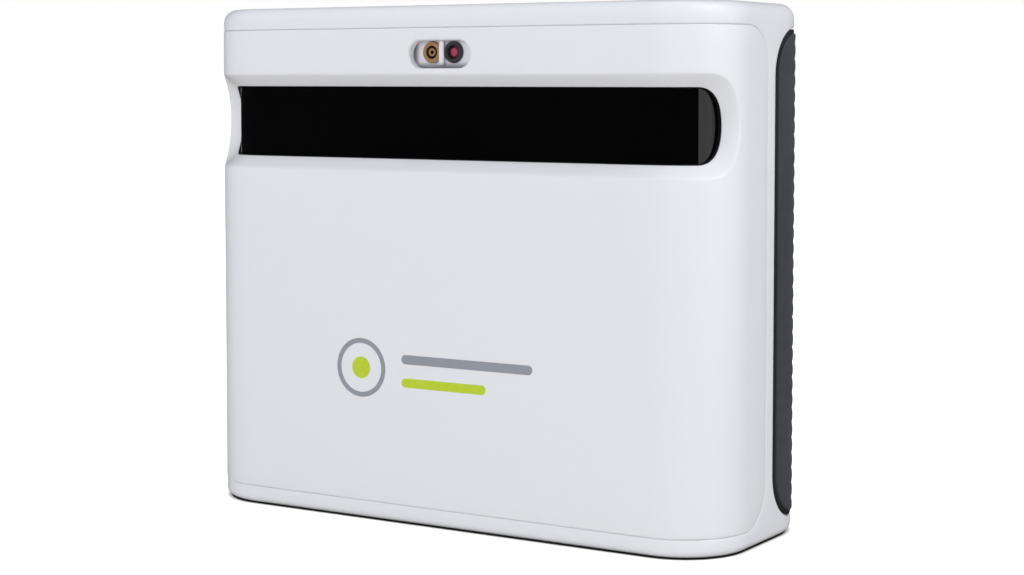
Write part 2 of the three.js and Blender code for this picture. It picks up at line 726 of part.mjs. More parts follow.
place("battery_tray", batteryTray(), blackPlastic);
place("battery_cell_1", batteryCell(0), cellWrap);
place("battery_cell_2", batteryCell(1), cellWrap);

place("control_panel", controlPanel(), greyPlastic);
place("control_board", controlBoard(), boardGreen);
place("power_button", powerButton(), blackPlastic);
place("button_switch", buttonSwitch(), chipBlack);
place("slide_switch_body", slideSwitchBody(), steel);
place("mode_knob", modeKnob(), blackPlastic);
place("usb_socket", usbSocket(), steel);
place("light_pipe", lightPipe(), clearPlastic);

export default group;
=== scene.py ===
"""Golf launch monitor: the visual model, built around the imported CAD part."""

import json
import math

import bmesh
import bpy
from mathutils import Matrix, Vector
from mathutils.geometry import delaunay_2d_cdt


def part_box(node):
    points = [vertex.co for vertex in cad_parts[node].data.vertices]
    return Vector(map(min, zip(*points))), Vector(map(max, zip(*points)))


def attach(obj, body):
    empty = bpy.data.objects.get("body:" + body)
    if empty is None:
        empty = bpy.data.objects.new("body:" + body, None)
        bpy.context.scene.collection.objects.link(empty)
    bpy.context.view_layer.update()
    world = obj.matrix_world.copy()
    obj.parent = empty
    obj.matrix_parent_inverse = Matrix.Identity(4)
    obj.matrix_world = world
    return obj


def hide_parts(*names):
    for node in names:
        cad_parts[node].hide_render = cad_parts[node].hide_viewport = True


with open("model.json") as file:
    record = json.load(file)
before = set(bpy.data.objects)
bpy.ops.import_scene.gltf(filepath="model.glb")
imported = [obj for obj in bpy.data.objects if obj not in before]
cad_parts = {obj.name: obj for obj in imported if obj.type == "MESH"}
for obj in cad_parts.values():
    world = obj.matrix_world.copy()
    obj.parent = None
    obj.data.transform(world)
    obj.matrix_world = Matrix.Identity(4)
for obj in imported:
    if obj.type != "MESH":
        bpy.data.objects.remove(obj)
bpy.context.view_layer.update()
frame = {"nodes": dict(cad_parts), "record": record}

# ---- Sizes in millimetres, taken from the frame where it has them ----
MM = 0.001


def node_box(node):
    low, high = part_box(node)
    return Vector(low) / MM, Vector(high) / MM


def middle_of(node):
    low, high = node_box(node)
    return (low + high) / 2


SHELL_LOW, SHELL_HIGH = node_box("rear_housing")
COVER_LOW, COVER_HIGH = node_box("front_cover")
GRIP_LOW, GRIP_HIGH = node_box("grip_right")
PANEL_LOW, PANEL_HIGH = node_box("control_panel")
PAD_LOW, PAD_HIGH = node_box("base_pad")

HALF_WIDTH = SHELL_HIGH.x
FRONT = SHELL_LOW.y
REAR = SHELL_HIGH.y
TOP = SHELL_HIGH.z
BOTTOM = SHELL_LOW.z
FRONT_RADIUS = 19.4
REAR_RADIUS = 21
TOP_FILLET = 4
BOTTOM_FILLET = 2
WALL = 2.4
GAP = 0.3
APERTURE_X = 0.7
APERTURE_Z = 132.3
APERTURE_HALF_WIDTH = 10.1
APERTURE_HALF_HEIGHT = 3.8
APERTURE_LIP = 0.8

# The outline of the body seen from above, as distances from the middle of the front
FLAT = HALF_WIDTH - FRONT_RADIUS
FRONT_ARC_END = FLAT + FRONT_RADIUS * math.pi / 2
SIDE_END = FRONT_ARC_END + REAR - FRONT - FRONT_RADIUS - REAR_RADIUS
REAR_ARC_END = SIDE_END + REAR_RADIUS * math.pi / 2
HALF_ROUND = REAR_ARC_END + HALF_WIDTH - REAR_RADIUS

ARC_STEP = 3  # degrees between the columns of a round corner
FLAT_STEP = 7  # millimetres between columns elsewhere
ROW_STEP = 6


def wall_point(run, sink, z):
    """The point at distance run round the body from the middle of its front, sink below the surface."""
    run = (run + HALF_ROUND) % (2 * HALF_ROUND) - HALF_ROUND
    side = math.copysign(1, run)
    run = abs(run)
    if run <= FLAT:
        x, y = run, FRONT + sink
    elif run <= FRONT_ARC_END:
        angle = (run - FLAT) / FRONT_RADIUS
        radius = FRONT_RADIUS - sink
        x, y = FLAT + radius * math.sin(angle), FRONT + FRONT_RADIUS - radius * math.cos(angle)
    elif run <= SIDE_END:
        x, y = HALF_WIDTH - sink, FRONT + FRONT_RADIUS + run - FRONT_ARC_END
    elif run <= REAR_ARC_END:
        angle = (run - SIDE_END) / REAR_RADIUS
        radius = REAR_RADIUS - sink
        x = HALF_WIDTH - REAR_RADIUS + radius * math.cos(angle)
        y = REAR - REAR_RADIUS + radius * math.sin(angle)
    else:
        x, y = HALF_WIDTH - REAR_RADIUS - (run - REAR_ARC_END), REAR - sink
    return Vector((side * x, y, z)) * MM


def spread(start, end, step):
    """Evenly spaced values from start up to but not including end, at most step apart."""
    count = max(1, math.ceil((end - start) / step - 1e-6))
    return [start + (end - start) * i / count for i in range(count)]


def columns_round():
    """The columns of the whole body, from the middle of the front once round."""
    half = spread(0, FLAT, FLAT_STEP)
    half += spread(FLAT, FRONT_ARC_END, math.radians(ARC_STEP) * FRONT_RADIUS)
    half += spread(FRONT_ARC_END, SIDE_END, FLAT_STEP)
    half += spread(SIDE_END, REAR_ARC_END, math.radians(ARC_STEP) * REAR_RADIUS)
    half += spread(REAR_ARC_END, HALF_ROUND, FLAT_STEP)
    return half + [2 * HALF_ROUND - run for run in reversed(half[1:] + [HALF_ROUND])]


COLUMNS = columns_round()


# ---- Outlines on the developed wall: closed lists of (run, z), always the same number of points ----
def rounded_box(run0, run1, z0, z1, radius, inset=0, arc_steps=12, step=ROW_STEP):
    """A rectangle with round corners, moved inwards by inset."""
    r = max(radius - inset, 0.01)
    corners = [
        (run1 - radius, z0 + radius, -90),
        (run1 - radius, z1 - radius, 0),
        (run0 + radius, z1 - radius, 90),
        (run0 + radius, z0 + radius, 180),
    ]
    edges = [z1 - z0 - 2 * radius, run1 - run0 - 2 * radius] * 2
    points = []
    for index, (cx, cz, start) in enumerate(corners):
        arc = []
        for i in range(arc_steps + 1):
            angle = math.radians(start + 90 * i / arc_steps)
            arc.append((cx + r * math.cos(angle), cz + r * math.sin(angle)))
        points += arc
        nx, nz, next_start = corners[(index + 1) % 4]
        angle = math.radians(next_start)
        end = (nx + r * math.cos(angle), nz + r * math.sin(angle))
        count = max(1, math.ceil(edges[index] / step))
        (x0, y0) = arc[-1]
        for i in range(1, count):
            points.append((x0 + (end[0] - x0) * i / count, y0 + (end[1] - y0) * i / count))
    return points


def circle(run, z, radius, steps=32):
    angles = [2 * math.pi * i / steps for i in range(steps)]
    return [(run + radius * math.cos(a), z + radius * math.sin(a)) for a in angles]


# ---- Window recess: straight edges, then half ellipses that bend round the front corners ----
WINDOW_Z = 113.2
MOUTH = {"bend": 47, "tip": 75.8, "half": 13.5}
THROAT = {"bend": 40, "tip": 69, "half": 10.2}
THROAT_DEPTH = 3.7
TIP_EXTRA = 0.7  # added depth of the throat at its two tips
BEVEL_WIDTH = MOUTH["half"] - THROAT["half"]
TIP_STEPS = 24
TIP_POWER = 0.92  # below 1 the tips are squarer than an ellipse


def alongside(degrees):
    """Distance round the body of a point that many degrees round a front corner."""
    return FLAT + math.radians(degrees) * FRONT_RADIUS


def window_stations(share, grow=0):
    """(run, half height) from the middle to the right tip, at a share of the way to the throat."""
    bend, tip, half = (MOUTH[k] + (THROAT[k] - MOUTH[k]) * share for k in ("bend", "tip", "half"))
    bend, tip = alongside(bend), alongside(tip) + grow
    half += grow
    straight = [run for run in COLUMNS if run < FLAT - 1]
    straight += [FLAT + (bend - FLAT) * i / 14 for i in range(15)]
    angles = [math.pi / 2 * i / TIP_STEPS for i in range(1, TIP_STEPS + 1)]
    round_end = [
        (bend + (tip - bend) * math.sin(a) ** TIP_POWER, half * max(0, math.cos(a)) ** TIP_POWER)
        for a in angles
    ]
    return [(run, half) for run in straight] + round_end


def window_outline(share, grow=0):
    """The same as a closed outline of the whole window."""
    right = window_stations(share, grow)
    lower = [(run, WINDOW_Z - half) for run, half in right]
    upper = [(run, WINDOW_Z + half) for run, half in right]
    left_upper = [(-run, z) for run, z in upper[1:]]
    left_lower = [(-run, z) for run, z in lower[1:-1]]
    return lower[:-1] + upper[::-1] + left_upper + left_lower[::-1]


class Skin:
    """Collects rings, strips and filled sheets into one mesh."""

    def __init__(self):
        self.bm = bmesh.new()

    def point(self, run, sink, z):
        return self.bm.verts.new(wall_point(run, sink, z))

    def ring(self, outline, sink):
        """Points of an outline on the wall. sink is a number, or a function of run and height."""
        return [self.point(run, sink(run, z) if callable(sink) else sink, z) for run, z in outline]

    def loop(self, points):
        return [self.bm.verts.new(Vector(p) * MM) for p in points]

    def strip(self, a, b):
        for i in range(len(a)):
            j = (i + 1) % len(a)
            self.bm.faces.new((a[i], a[j], b[j], b[i]))

    def strips(self, rings):
        for a, b in zip(rings, rings[1:]):
            self.strip(a, b)

    def walls(self, outline, profile):
        """Joined rings at (inset, depth) pairs. The outline is a function of the inset."""
        rings = [self.ring(outline(inset), depth) for inset, depth in profile]
        self.strips(rings)
        return rings

    def cap(self, ring):
        self.bm.faces.new(ring)

    def solid(self, rings):
        """Joins rings and closes both ends."""
        self.strips(rings)
        self.cap(rings[0])
        self.cap(rings[-1])

    def quad(self, *corners):
        self.bm.faces.new(corners)

    def grid(self, rows):
        """Fills a grid given as rows of points."""
        for row, upper in zip(rows, rows[1:]):
            for a, b, c, d in zip(row, row[1:], upper[1:], upper):
                self.quad(a, b, c, d)

    def sheet(self, outer, holes, sink, columns, rows, clear=1.0):
        """Fills the wall between an outline and holes, each as (outline, ring), with inner points."""
        loops = [outer, *holes]
        coords = []
        edges = []
        verts = []
        for outline, ring in loops:
            first = len(coords)
            coords += [Vector(p) for p in outline]
            edges += [(first + i, first + (i + 1) % len(outline)) for i in range(len(outline))]
            verts += ring
        polygons = [outline for outline, _ in loops]
        for run in columns:
            for z in rows:
                if room_for((run, z), polygons, clear):
                    coords.append(Vector((run, z)))
                    verts.append(self.point(run, sink, z))
        found, _, faces, origins, _, _ = delaunay_2d_cdt(coords, edges, [], 0, 1e-5)
        places = [verts[o[0]] if o else None for o in origins]
        for face in faces:
            middle = sum((found[i] for i in face), Vector((0, 0))) / len(face)
            corners = [places[i] for i in face]
            if None in corners or len(set(corners)) < 3:
                continue
            if inside(middle, polygons[0]) and not any(inside(middle, p) for p in polygons[1:]):
                self.bm.faces.new(corners)


def inside(point, polygon):
    x, y = point
    result = False
    for (x0, y0), (x1, y1) in zip(polygon, polygon[1:] + polygon[:1]):
        if (y0 > y) != (y1 > y) and x < x0 + (y - y0) * (x1 - x0) / (y1 - y0):
            result = not result
    return result


def room_for(point, polygons, clear):
    """True if a point lies inside the first polygon, outside the others and clear of every edge."""
    if not inside(point, polygons[0]) or any(inside(point, p) for p in polygons[1:]):
        return False
    x, y = point
    for polygon in polygons:
        for (x0, y0), (x1, y1) in zip(polygon, polygon[1:] + polygon[:1]):
            length = (x1 - x0) ** 2 + (y1 - y0) ** 2
            t = max(0, min(1, ((x - x0) * (x1 - x0) + (y - y0) * (y1 - y0)) / length)) if length else 0
            if math.hypot(x - x0 - t * (x1 - x0), y - y0 - t * (y1 - y0)) < clear:
                return False
    return True


# ---- Materials ----
class Finish:
    """A procedural material: short helpers round one Principled shader."""

    def __init__(self, name, **sockets):
        self.material = bpy.data.materials.new(name)
        self.material.use_nodes = True
        self.nodes = self.material.node_tree.nodes
        self.links = self.material.node_tree.links
        self.shader = self.nodes["Principled BSDF"]
        for socket, value in sockets.items():
            self.shader.inputs[socket.replace("_", " ")].default_value = value
        self.coords = self.nodes.new("ShaderNodeTexCoord").outputs["Object"]

    def link(self, output, target):
        self.links.new(output, target)

    def noise(self, scale, detail=3, roughness=0.5, stretch=(1, 1, 1)):
        mapping = self.nodes.new("ShaderNodeMapping")
        mapping.inputs["Scale"].default_value = stretch
        self.link(self.coords, mapping.inputs["Vector"])
        node = self.nodes.new("ShaderNodeTexNoise")
        node.inputs["Scale"].default_value = scale
        node.inputs["Detail"].default_value = detail
        node.inputs["Roughness"].default_value = roughness
        self.link(mapping.outputs["Vector"], node.inputs["Vector"])
        return node.outputs["Fac"]

    def math(self, operation, first, second=None, kind="Math"):
        """The result of a Math or VectorMath node. Inputs are constants or outputs of other nodes."""
        node = self.nodes.new("ShaderNode" + kind)
        node.operation = operation
        for socket, value in zip(node.inputs, (first, second)):
            if isinstance(value, bpy.types.NodeSocket):
                self.link(value, socket)
            elif value is not None:
                socket.default_value = value
        return node.outputs["Vector" if kind == "VectorMath" and operation != "LENGTH" else "Value"]

    def axis(self, name):
        split = self.nodes.new("ShaderNodeSeparateXYZ")
        self.link(self.coords, split.inputs["Vector"])
        return split.outputs[name]

    def between(self, factor, low, high, start=0.3, end=0.7):
        node = self.nodes.new("ShaderNodeMapRange")
        node.inputs["From Min"].default_value = start
        node.inputs["From Max"].default_value = end
        node.inputs["To Min"].default_value = low
        node.inputs["To Max"].default_value = high
        self.link(factor, node.inputs["Value"])
        return node.outputs["Result"]

    def colors(self, factor, *stops):
        node = self.nodes.new("ShaderNodeValToRGB")
        ramp = node.color_ramp
        while len(ramp.elements) < len(stops):
            ramp.elements.new(0.5)
        for element, (place, color) in zip(ramp.elements, stops):
            element.position = place
            element.color = (*color, 1)
        self.link(factor, node.inputs["Fac"])
        self.link(node.outputs["Color"], self.shader.inputs["Base Color"])
        return node.outputs["Color"]

    def mottle(self, scale, detail, color, dark, light=1):
        """Slight, soft variation round a base color."""
        self.colors(self.noise(scale, detail), (0.3, shade(color, dark)), (0.7, shade(color, light)))

    def rough(self, factor, low, high):
        self.link(self.between(factor, low, high), self.shader.inputs["Roughness"])

    def bump(self, height, strength, distance):
        node = self.nodes.new("ShaderNodeBump")
        node.inputs["Strength"].default_value = strength
        node.inputs["Distance"].default_value = distance
        self.link(height, node.inputs["Height"])
        self.link(node.outputs["Normal"], self.shader.inputs["Normal"])


def shade(color, factor):
    return tuple(channel * factor for channel in color)


def satin_white():
    """Moulded gloss-white plastic with a faint orange-peel surface."""
    finish = Finish("white_shell", Specular_IOR_Level=0.45, Coat_Weight=0.12, Coat_Roughness=0.18)
    finish.mottle(9, 2, (0.788, 0.797, 0.82), 0.992)
    finish.rough(finish.noise(55, 2), 0.31, 0.37)
    finish.bump(finish.noise(900, 2), 0.06, 0.0002)
    return finish.material


def ribbed_rubber():
    """Charcoal rubber with a fine matt grain."""
    finish = Finish("grip_rubber", Specular_IOR_Level=0.4, Sheen_Weight=0.08, Sheen_Roughness=0.5)
    finish.mottle(60, 4, (0.035, 0.038, 0.046), 0.86, 1.12)
    finish.rough(finish.noise(140, 3), 0.5, 0.64)
    finish.bump(finish.noise(2600, 2), 0.25, 0.0001)
    return finish.material


def black_rubber():
    finish = Finish("black_rubber", Specular_IOR_Level=0.3)
    finish.colors(finish.noise(80, 4), (0.3, (0.008, 0.008, 0.009)), (0.7, (0.013, 0.013, 0.014)))
    finish.rough(finish.noise(160, 3), 0.7, 0.85)
    finish.bump(finish.noise(2200, 2), 0.2, 0.0001)
    return finish.material


def window_acrylic():
    """Polished acrylic that is black to the eye."""
    finish = Finish("window_acrylic", Specular_IOR_Level=0.5, IOR=1.49)
    finish.colors(finish.noise(14, 2), (0.3, (0.0010, 0.0010, 0.0013)), (0.7, (0.0016, 0.0015, 0.0018)))
    finish.rough(finish.noise(30, 4), 0.03, 0.07)
    return finish.material


def well_white():
    """White plastic with painted shade: darker towards the bottom of the aperture and towards its two
    ends.
    """
    finish = Finish("well_white", Specular_IOR_Level=0.35)
    above = finish.between(finish.axis("Z"), 0, 1, 0.1284, 0.1303)
    sideways = finish.math("ABSOLUTE", finish.math("SUBTRACT", finish.axis("X"), APERTURE_X * MM))
    # Painted shade: the colour falls to dark grey at the bottom and at the two ends of the aperture.
    unshaded = finish.math("MULTIPLY", above, finish.between(sideways, 1, 0.3, 0.0086, 0.0101))
    finish.colors(unshaded, (0, (0.12, 0.12, 0.13)), (0.5, (0.4, 0.4, 0.42)), (1, (0.78, 0.78, 0.81)))
    finish.rough(finish.noise(300, 3), 0.45, 0.6)
    finish.bump(finish.noise(1800, 2), 0.1, 0.0001)
    return finish.material


def turning_marks(finish, low, high):
    """Fine marks round the Y axis, with a roughness between low and high."""
    finish.rough(finish.noise(900, 2), low, high)
    finish.bump(finish.noise(760, 2, 0.5, (1, 0.05, 1)), 0.2, 0.00005)


def turned_metal(name, color, low, high, metallic=1.0):
    finish = Finish(name, Metallic=metallic)
    finish.mottle(500, 3, color, 0.82)
    turning_marks(finish, low, high)
    return finish.material


def moulded(name, color, low, high, grain=1500):
    finish = Finish(name, Specular_IOR_Level=0.45)
    finish.mottle(90, 3, color, 0.85, 1.1)
    finish.rough(finish.noise(200, 3), low, high)
    finish.bump(finish.noise(grain, 2), 0.15, 0.0001)
    return finish.material


def tinted_glass(name, color, low=0.03, high=0.08):
    finish = Finish(name, Specular_IOR_Level=0.6, Coat_Weight=0.6, Coat_Roughness=0.04)
    finish.mottle(350, 2, color, 0.6)
    finish.rough(finish.noise(250, 2), low, high)
    return finish.material


def radial_colors(finish, middle, *stops):
    """Colors by the distance in millimetres from a Y axis through middle, up to 3 mm."""
    place = finish.nodes.new("ShaderNodeMapping")
    place.inputs["Location"].default_value = (-middle.x * MM, 0, -middle.z * MM)
    place.inputs["Scale"].default_value = (1, 0, 1)
    finish.link(finish.coords, place.inputs["Vector"])
    distance = finish.math("LENGTH", place.outputs["Vector"], kind="VectorMath")
    reach = finish.between(distance, 0, 1, 0, 3 * MM)
    finish.colors(reach, *[(radius / 3, color) for radius, color in stops])


def ringed_glass(name, color, rim_shade_color, middle, radius):
    """Tinted glass with a darker ring outside a radius: painted shade where the tube's bore shades the
    rim of the lens.
    """
    finish = Finish(name, Specular_IOR_Level=0.5, Coat_Weight=0.4, Coat_Roughness=0.05)
    radial_colors(finish, middle, (radius - 0.08, color), (radius + 0.08, rim_shade_color))
    finish.rough(finish.noise(250, 2), 0.05, 0.1)
    return finish.material


BRASS_COLOR = (0.56, 0.34, 0.16)


def laser_brass(middle):
    """Brass with painted shade: near black in the bore and in the groove ring round it."""
    finish = Finish("laser_brass", Metallic=0.4)
    # Painted shade: near-black colour in the bore and in the recessed ring groove round it.
    groove_shade, bore = (0.05, 0.022, 0.01), (0.006, 0.005, 0.005)
    ring = [(0.5, bore), (0.58, (0.5, 0.3, 0.14)), (1.05, (0.5, 0.3, 0.14)), (1.2, groove_shade), (1.75, groove_shade)]
    radial_colors(finish, middle, *ring, (1.95, BRASS_COLOR))
    turning_marks(finish, 0.3, 0.42)
    return finish.material


def circuit_board():
    """Green solder mask with fine darker tracks."""
    finish = Finish("circuit_board", Specular_IOR_Level=0.5, Coat_Weight=0.3)
    tracks = finish.nodes.new("ShaderNodeTexBrick")
    tracks.inputs["Scale"].default_value = 140
    tracks.inputs["Mortar Size"].default_value = 0.03
    tracks.inputs["Color1"].default_value = (0.012, 0.10, 0.045, 1)
    tracks.inputs["Color2"].default_value = (0.014, 0.085, 0.04, 1)
    tracks.inputs["Mortar"].default_value = (0.03, 0.17, 0.08, 1)
    turn = finish.nodes.new("ShaderNodeMapping")
    turn.inputs["Rotation"].default_value = (math.pi / 2, 0, 0)
    finish.link(finish.coords, turn.inputs["Vector"])
    finish.link(turn.outputs["Vector"], tracks.inputs["Vector"])
    finish.link(tracks.outputs["Color"], finish.shader.inputs["Base Color"])
    finish.rough(finish.noise(400, 2), 0.3, 0.45)
    return finish.material


def printed_ink(name, color):
    finish = Finish(name, Specular_IOR_Level=0.4)
    finish.mottle(700, 3, color, 0.93)
    finish.rough(finish.noise(500, 2), 0.4, 0.5)
    return finish.material


WHITE = satin_white()
GRIP_RUBBER = ribbed_rubber()
BLACK_RUBBER = black_rubber()
WINDOW = window_acrylic()
WELL = well_white()
BRASS = turned_metal("brass", BRASS_COLOR, 0.3, 0.42, metallic=0.4)
LASER_BRASS = laser_brass(middle_of("laser_barrel"))
STEEL = turned_metal("steel", (0.46, 0.47, 0.5), 0.25, 0.4)
ALUMINIUM = turned_metal("aluminium", (0.62, 0.64, 0.67), 0.3, 0.45)
BLACK_PLASTIC = moulded("black_plastic", (0.016, 0.017, 0.019), 0.38, 0.5)
GREY_PLASTIC = moulded("grey_plastic", (0.16, 0.17, 0.19), 0.42, 0.55)
CHIP_BLACK = moulded("chip_black", (0.02, 0.02, 0.022), 0.4, 0.55)
# The lens's darker rim ring is painted shade from the tube's bore.
PINK_GLASS = ringed_glass(
    "pink_lens", (0.42, 0.07, 0.14), (0.09, 0.02, 0.03), middle_of("receiver_lens"), 1.1
)
COATED_GLASS = tinted_glass("coated_glass", (0.035, 0.05, 0.16))
CLEAR_PLASTIC = tinted_glass("clear_plastic", (0.72, 0.78, 0.82), 0.12, 0.2)
BOARD = circuit_board()
CELL_WRAP = moulded("cell_wrap", (0.03, 0.16, 0.34), 0.25, 0.35, 600)
AMBER_FILM = moulded("amber_film", (0.42, 0.17, 0.03), 0.25, 0.4, 700)
GASKET_BLACK = moulded("gasket_black", (0.006, 0.006, 0.007), 0.75, 0.9)
TUBE_BLACK = moulded("tube_black", (0.042, 0.044, 0.047), 0.4, 0.55)
# Painted shade: the grip's edge band is darker rubber than its field, for the shade of the gap round the
# grip.
SHADED_BORDER_RUBBER = moulded("shaded_border_rubber", (0.012, 0.013, 0.016), 0.7, 0.85)
BUTTON_BLACK = moulded("button_black", (0.018, 0.019, 0.021), 0.4, 0.55)
SCREW_BLACK = turned_metal("screw_black", (0.10, 0.10, 0.11), 0.35, 0.5)
WHITE_INK = printed_ink("white_ink", (0.7, 0.72, 0.74))
GREY_INK = printed_ink("grey_ink", (0.30, 0.32, 0.36))
LIME_INK = printed_ink("lime_ink", (0.52, 0.66, 0.03))


SLOT_MATERIALS = {
    "white_shell": WHITE,
    "grip_rubber": GRIP_RUBBER,
    "black_rubber": BLACK_RUBBER,
    "window_acrylic": WINDOW,
    "well_white": WELL,
    "brass": BRASS,
    "black_plastic": BLACK_PLASTIC,
    "grey_plastic": GREY_PLASTIC,
    "pink_lens": PINK_GLASS,
    "clear_plastic": CLEAR_PLASTIC,
    "circuit_board": BOARD,
    "aluminium": ALUMINIUM,
    "steel": STEEL,
    "coated_glass": COATED_GLASS,
    "chip_black": CHIP_BLACK,
    "cell_wrap": CELL_WRAP,
    "amber_film": AMBER_FILM,
}


def make_piece(skin, name, material, replaces=(), body="housing", sharp=34):
    """Turns a skin into a shaded piece that rides on a body."""
    bm = skin.bm
    bmesh.ops.remove_doubles(bm, verts=bm.verts, dist=1e-7)
    bmesh.ops.recalc_face_normals(bm, faces=bm.faces)
    for face in bm.faces:
        face.smooth = True
    for edge in bm.edges:
        edge.smooth = edge.calc_face_angle(0) < math.radians(sharp)
    mesh = bpy.data.meshes.new(name)
    bm.to_mesh(mesh)
    bm.free()
    mesh.materials.append(material)
    piece = bpy.data.objects.new(name, mesh)
    bpy.context.scene.collection.objects.link(piece)
    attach(piece, body)
    if replaces:
        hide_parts(*replaces)


def quarter(radius, steps=4):
    """A quarter round edge: (inset from the outline, depth), from the surface to the side wall."""
    angles = [math.pi / 2 * i / steps for i in range(steps + 1)]
    return [(radius * (1 - math.sin(a)), radius * (1 - math.cos(a))) for a in angles]


# ---- Front cover ----
COVER_RUN = FRONT_ARC_END + COVER_HIGH.y - (FRONT + FRONT_RADIUS)
COVER_CORNER = 11.5
COVER_PROUD = 0.1
COVER_TOP = COVER_HIGH.z - 0.8
SEAM_EDGE = 0.35
SEAM_GAP = 0.13
SEAM_CREST = 0.25


def cover_outline(inset=0):
    sides = (-COVER_RUN, COVER_RUN, COVER_LOW.z, COVER_TOP)
    return rounded_box(*sides, COVER_CORNER, inset, arc_steps=14, step=4)


def aperture_outline(inset=0):
    z0, z1 = APERTURE_Z - APERTURE_HALF_HEIGHT, APERTURE_Z + APERTURE_HALF_HEIGHT
    radius = APERTURE_HALF_HEIGHT - 0.01
    x0, x1 = APERTURE_X - APERTURE_HALF_WIDTH, APERTURE_X + APERTURE_HALF_WIDTH
    return rounded_box(x0, x1, z0, z1, radius, inset, step=2)


def bevel_profile():
    """Section of the recess from the outer surface to the throat: (distance inwards, depth)."""
    slope = math.atan2(THROAT_DEPTH, BEVEL_WIDTH)
    lip, edge = 1.3, 0.45
    lead = lip * math.tan(slope / 2)
    points = []
    for i in range(6):
        angle = slope * i / 5
        points.append((-lead + lip * math.sin(angle), lip * (1 - math.cos(angle))))
    tail = edge * math.tan((math.pi / 2 - slope) / 2)
    length = math.hypot(BEVEL_WIDTH, THROAT_DEPTH)
    start, end = math.hypot(*points[-1]), length - tail
    for i in range(1, 5):
        reach = start + (end - start) * i / 5
        points.append((reach * math.cos(slope), reach * math.sin(slope)))
    centre = (BEVEL_WIDTH - edge, THROAT_DEPTH + tail)
    for i in range(5):
        angle = slope + (math.pi / 2 - slope) * i / 4
        points.append((centre[0] + edge * math.sin(angle), centre[1] - edge * math.cos(angle)))
    return points


def tip_depth(depth):
    """The recess deepens towards its tips. Gives the depth as a function of run and height."""

    def at(run, z):
        bend, tip = alongside(THROAT["bend"]), alongside(THROAT["tip"])
        reach = (abs(run) - bend) / (tip - bend)
        return depth * (1 + TIP_EXTRA / THROAT_DEPTH * min(1, max(0, reach)) ** 2)

    return at


def recess_ring(skin, inwards, depth):
    share = max(inwards, 0) / BEVEL_WIDTH
    return skin.ring(window_outline(share, max(-inwards, 0)), tip_depth(depth))


def front_cover():
    skin = Skin()
    runs = [run if run <= HALF_ROUND else run - 2 * HALF_ROUND for run in COLUMNS]
    columns = sorted(run for run in runs if abs(run) < COVER_RUN)
    rows = spread(COVER_LOW.z + 2, COVER_TOP - 1, 5)

    def proud(edge):
        return [(inset, depth - COVER_PROUD) for inset, depth in edge] + [(0, WALL)]

    edge = proud(quarter(SEAM_EDGE))
    rim = skin.walls(cover_outline, edge)

    profile = bevel_profile()
    recess = [recess_ring(skin, x, depth - COVER_PROUD * (x <= 0)) for x, depth in profile]
    back = skin.ring(window_outline(1, 3.4), tip_depth(THROAT_DEPTH))
    inner_mouth = window_outline(0, 0.6)
    recess += [back, skin.ring(inner_mouth, WALL)]
    skin.strips(recess)

    lip = proud(quarter(APERTURE_LIP, 5))
    hole = skin.walls(lambda grow: aperture_outline(-grow), lip)

    outer_holes = [
        (window_outline(0, -profile[0][0]), recess[0]),
        (aperture_outline(-lip[0][0]), hole[0]),
    ]
    skin.sheet((cover_outline(edge[0][0]), rim[0]), outer_holes, -COVER_PROUD, columns, rows)
    inner_holes = [(inner_mouth, recess[-1]), (aperture_outline(), hole[-1])]
    skin.sheet((cover_outline(), rim[-1]), inner_holes, WALL, columns, rows, 2)
    make_piece(skin, "cover_shell", WHITE, ["front_cover"])


# ---- Rear housing ----
CUT_RUN = COVER_RUN + 3.3  # a plain stretch of side wall, where the developed wall is cut open
GRIP_CORNER = 13
GRIP_FRONT_RUN = FRONT_ARC_END + GRIP_LOW.y + 1 - (FRONT + FRONT_RADIUS)
GRIP_REAR_RUN = REAR_ARC_END + (HALF_WIDTH - REAR_RADIUS) - GRIP_LOW.x
GRIP_EDGE_GAP = 0.35
SOFT_EDGE = 0.5  # edge radius of the grip beds and screw wells
PANEL_EDGE = 0.4
GRIP_BED = 1.3
WELL_RADIUS = 3.4
WELL_FLOOR_Y = 5
POST_Y = -0.7
SCREW_NODES = [f"housing_screw_{i}" for i in (1, 2, 3, 4)]


def housing_cover_hole(grow):
    middle = 2 * HALF_ROUND
    sides = (middle - COVER_RUN, middle + COVER_RUN, COVER_LOW.z, COVER_TOP)
    return rounded_box(*sides, COVER_CORNER, -grow, arc_steps=14, step=4)


def grip_outline(side, inset=0):
    start, end = GRIP_FRONT_RUN, GRIP_REAR_RUN
    if side < 0:
        start, end = 2 * HALF_ROUND - end, 2 * HALF_ROUND - start
    return rounded_box(start, end, GRIP_LOW.z, GRIP_HIGH.z, GRIP_CORNER, inset, arc_steps=14, step=3)


def panel_outline(inset=0, grow=0):
    low, high = PANEL_LOW.z + 2 - grow, PANEL_HIGH.z - 2 + grow
    half = PANEL_HIGH.x - 2 + grow
    middle = HALF_ROUND
    return rounded_box(middle - half, middle + half, low, high, 4 + grow, inset, arc_steps=8, step=4)


def screw_places():
    """(run, z) of each housing screw on the rear wall."""
    places = []
    for node in SCREW_NODES:
        middle = middle_of(node)
        places.append((HALF_ROUND - middle.x, middle.z))
    return places


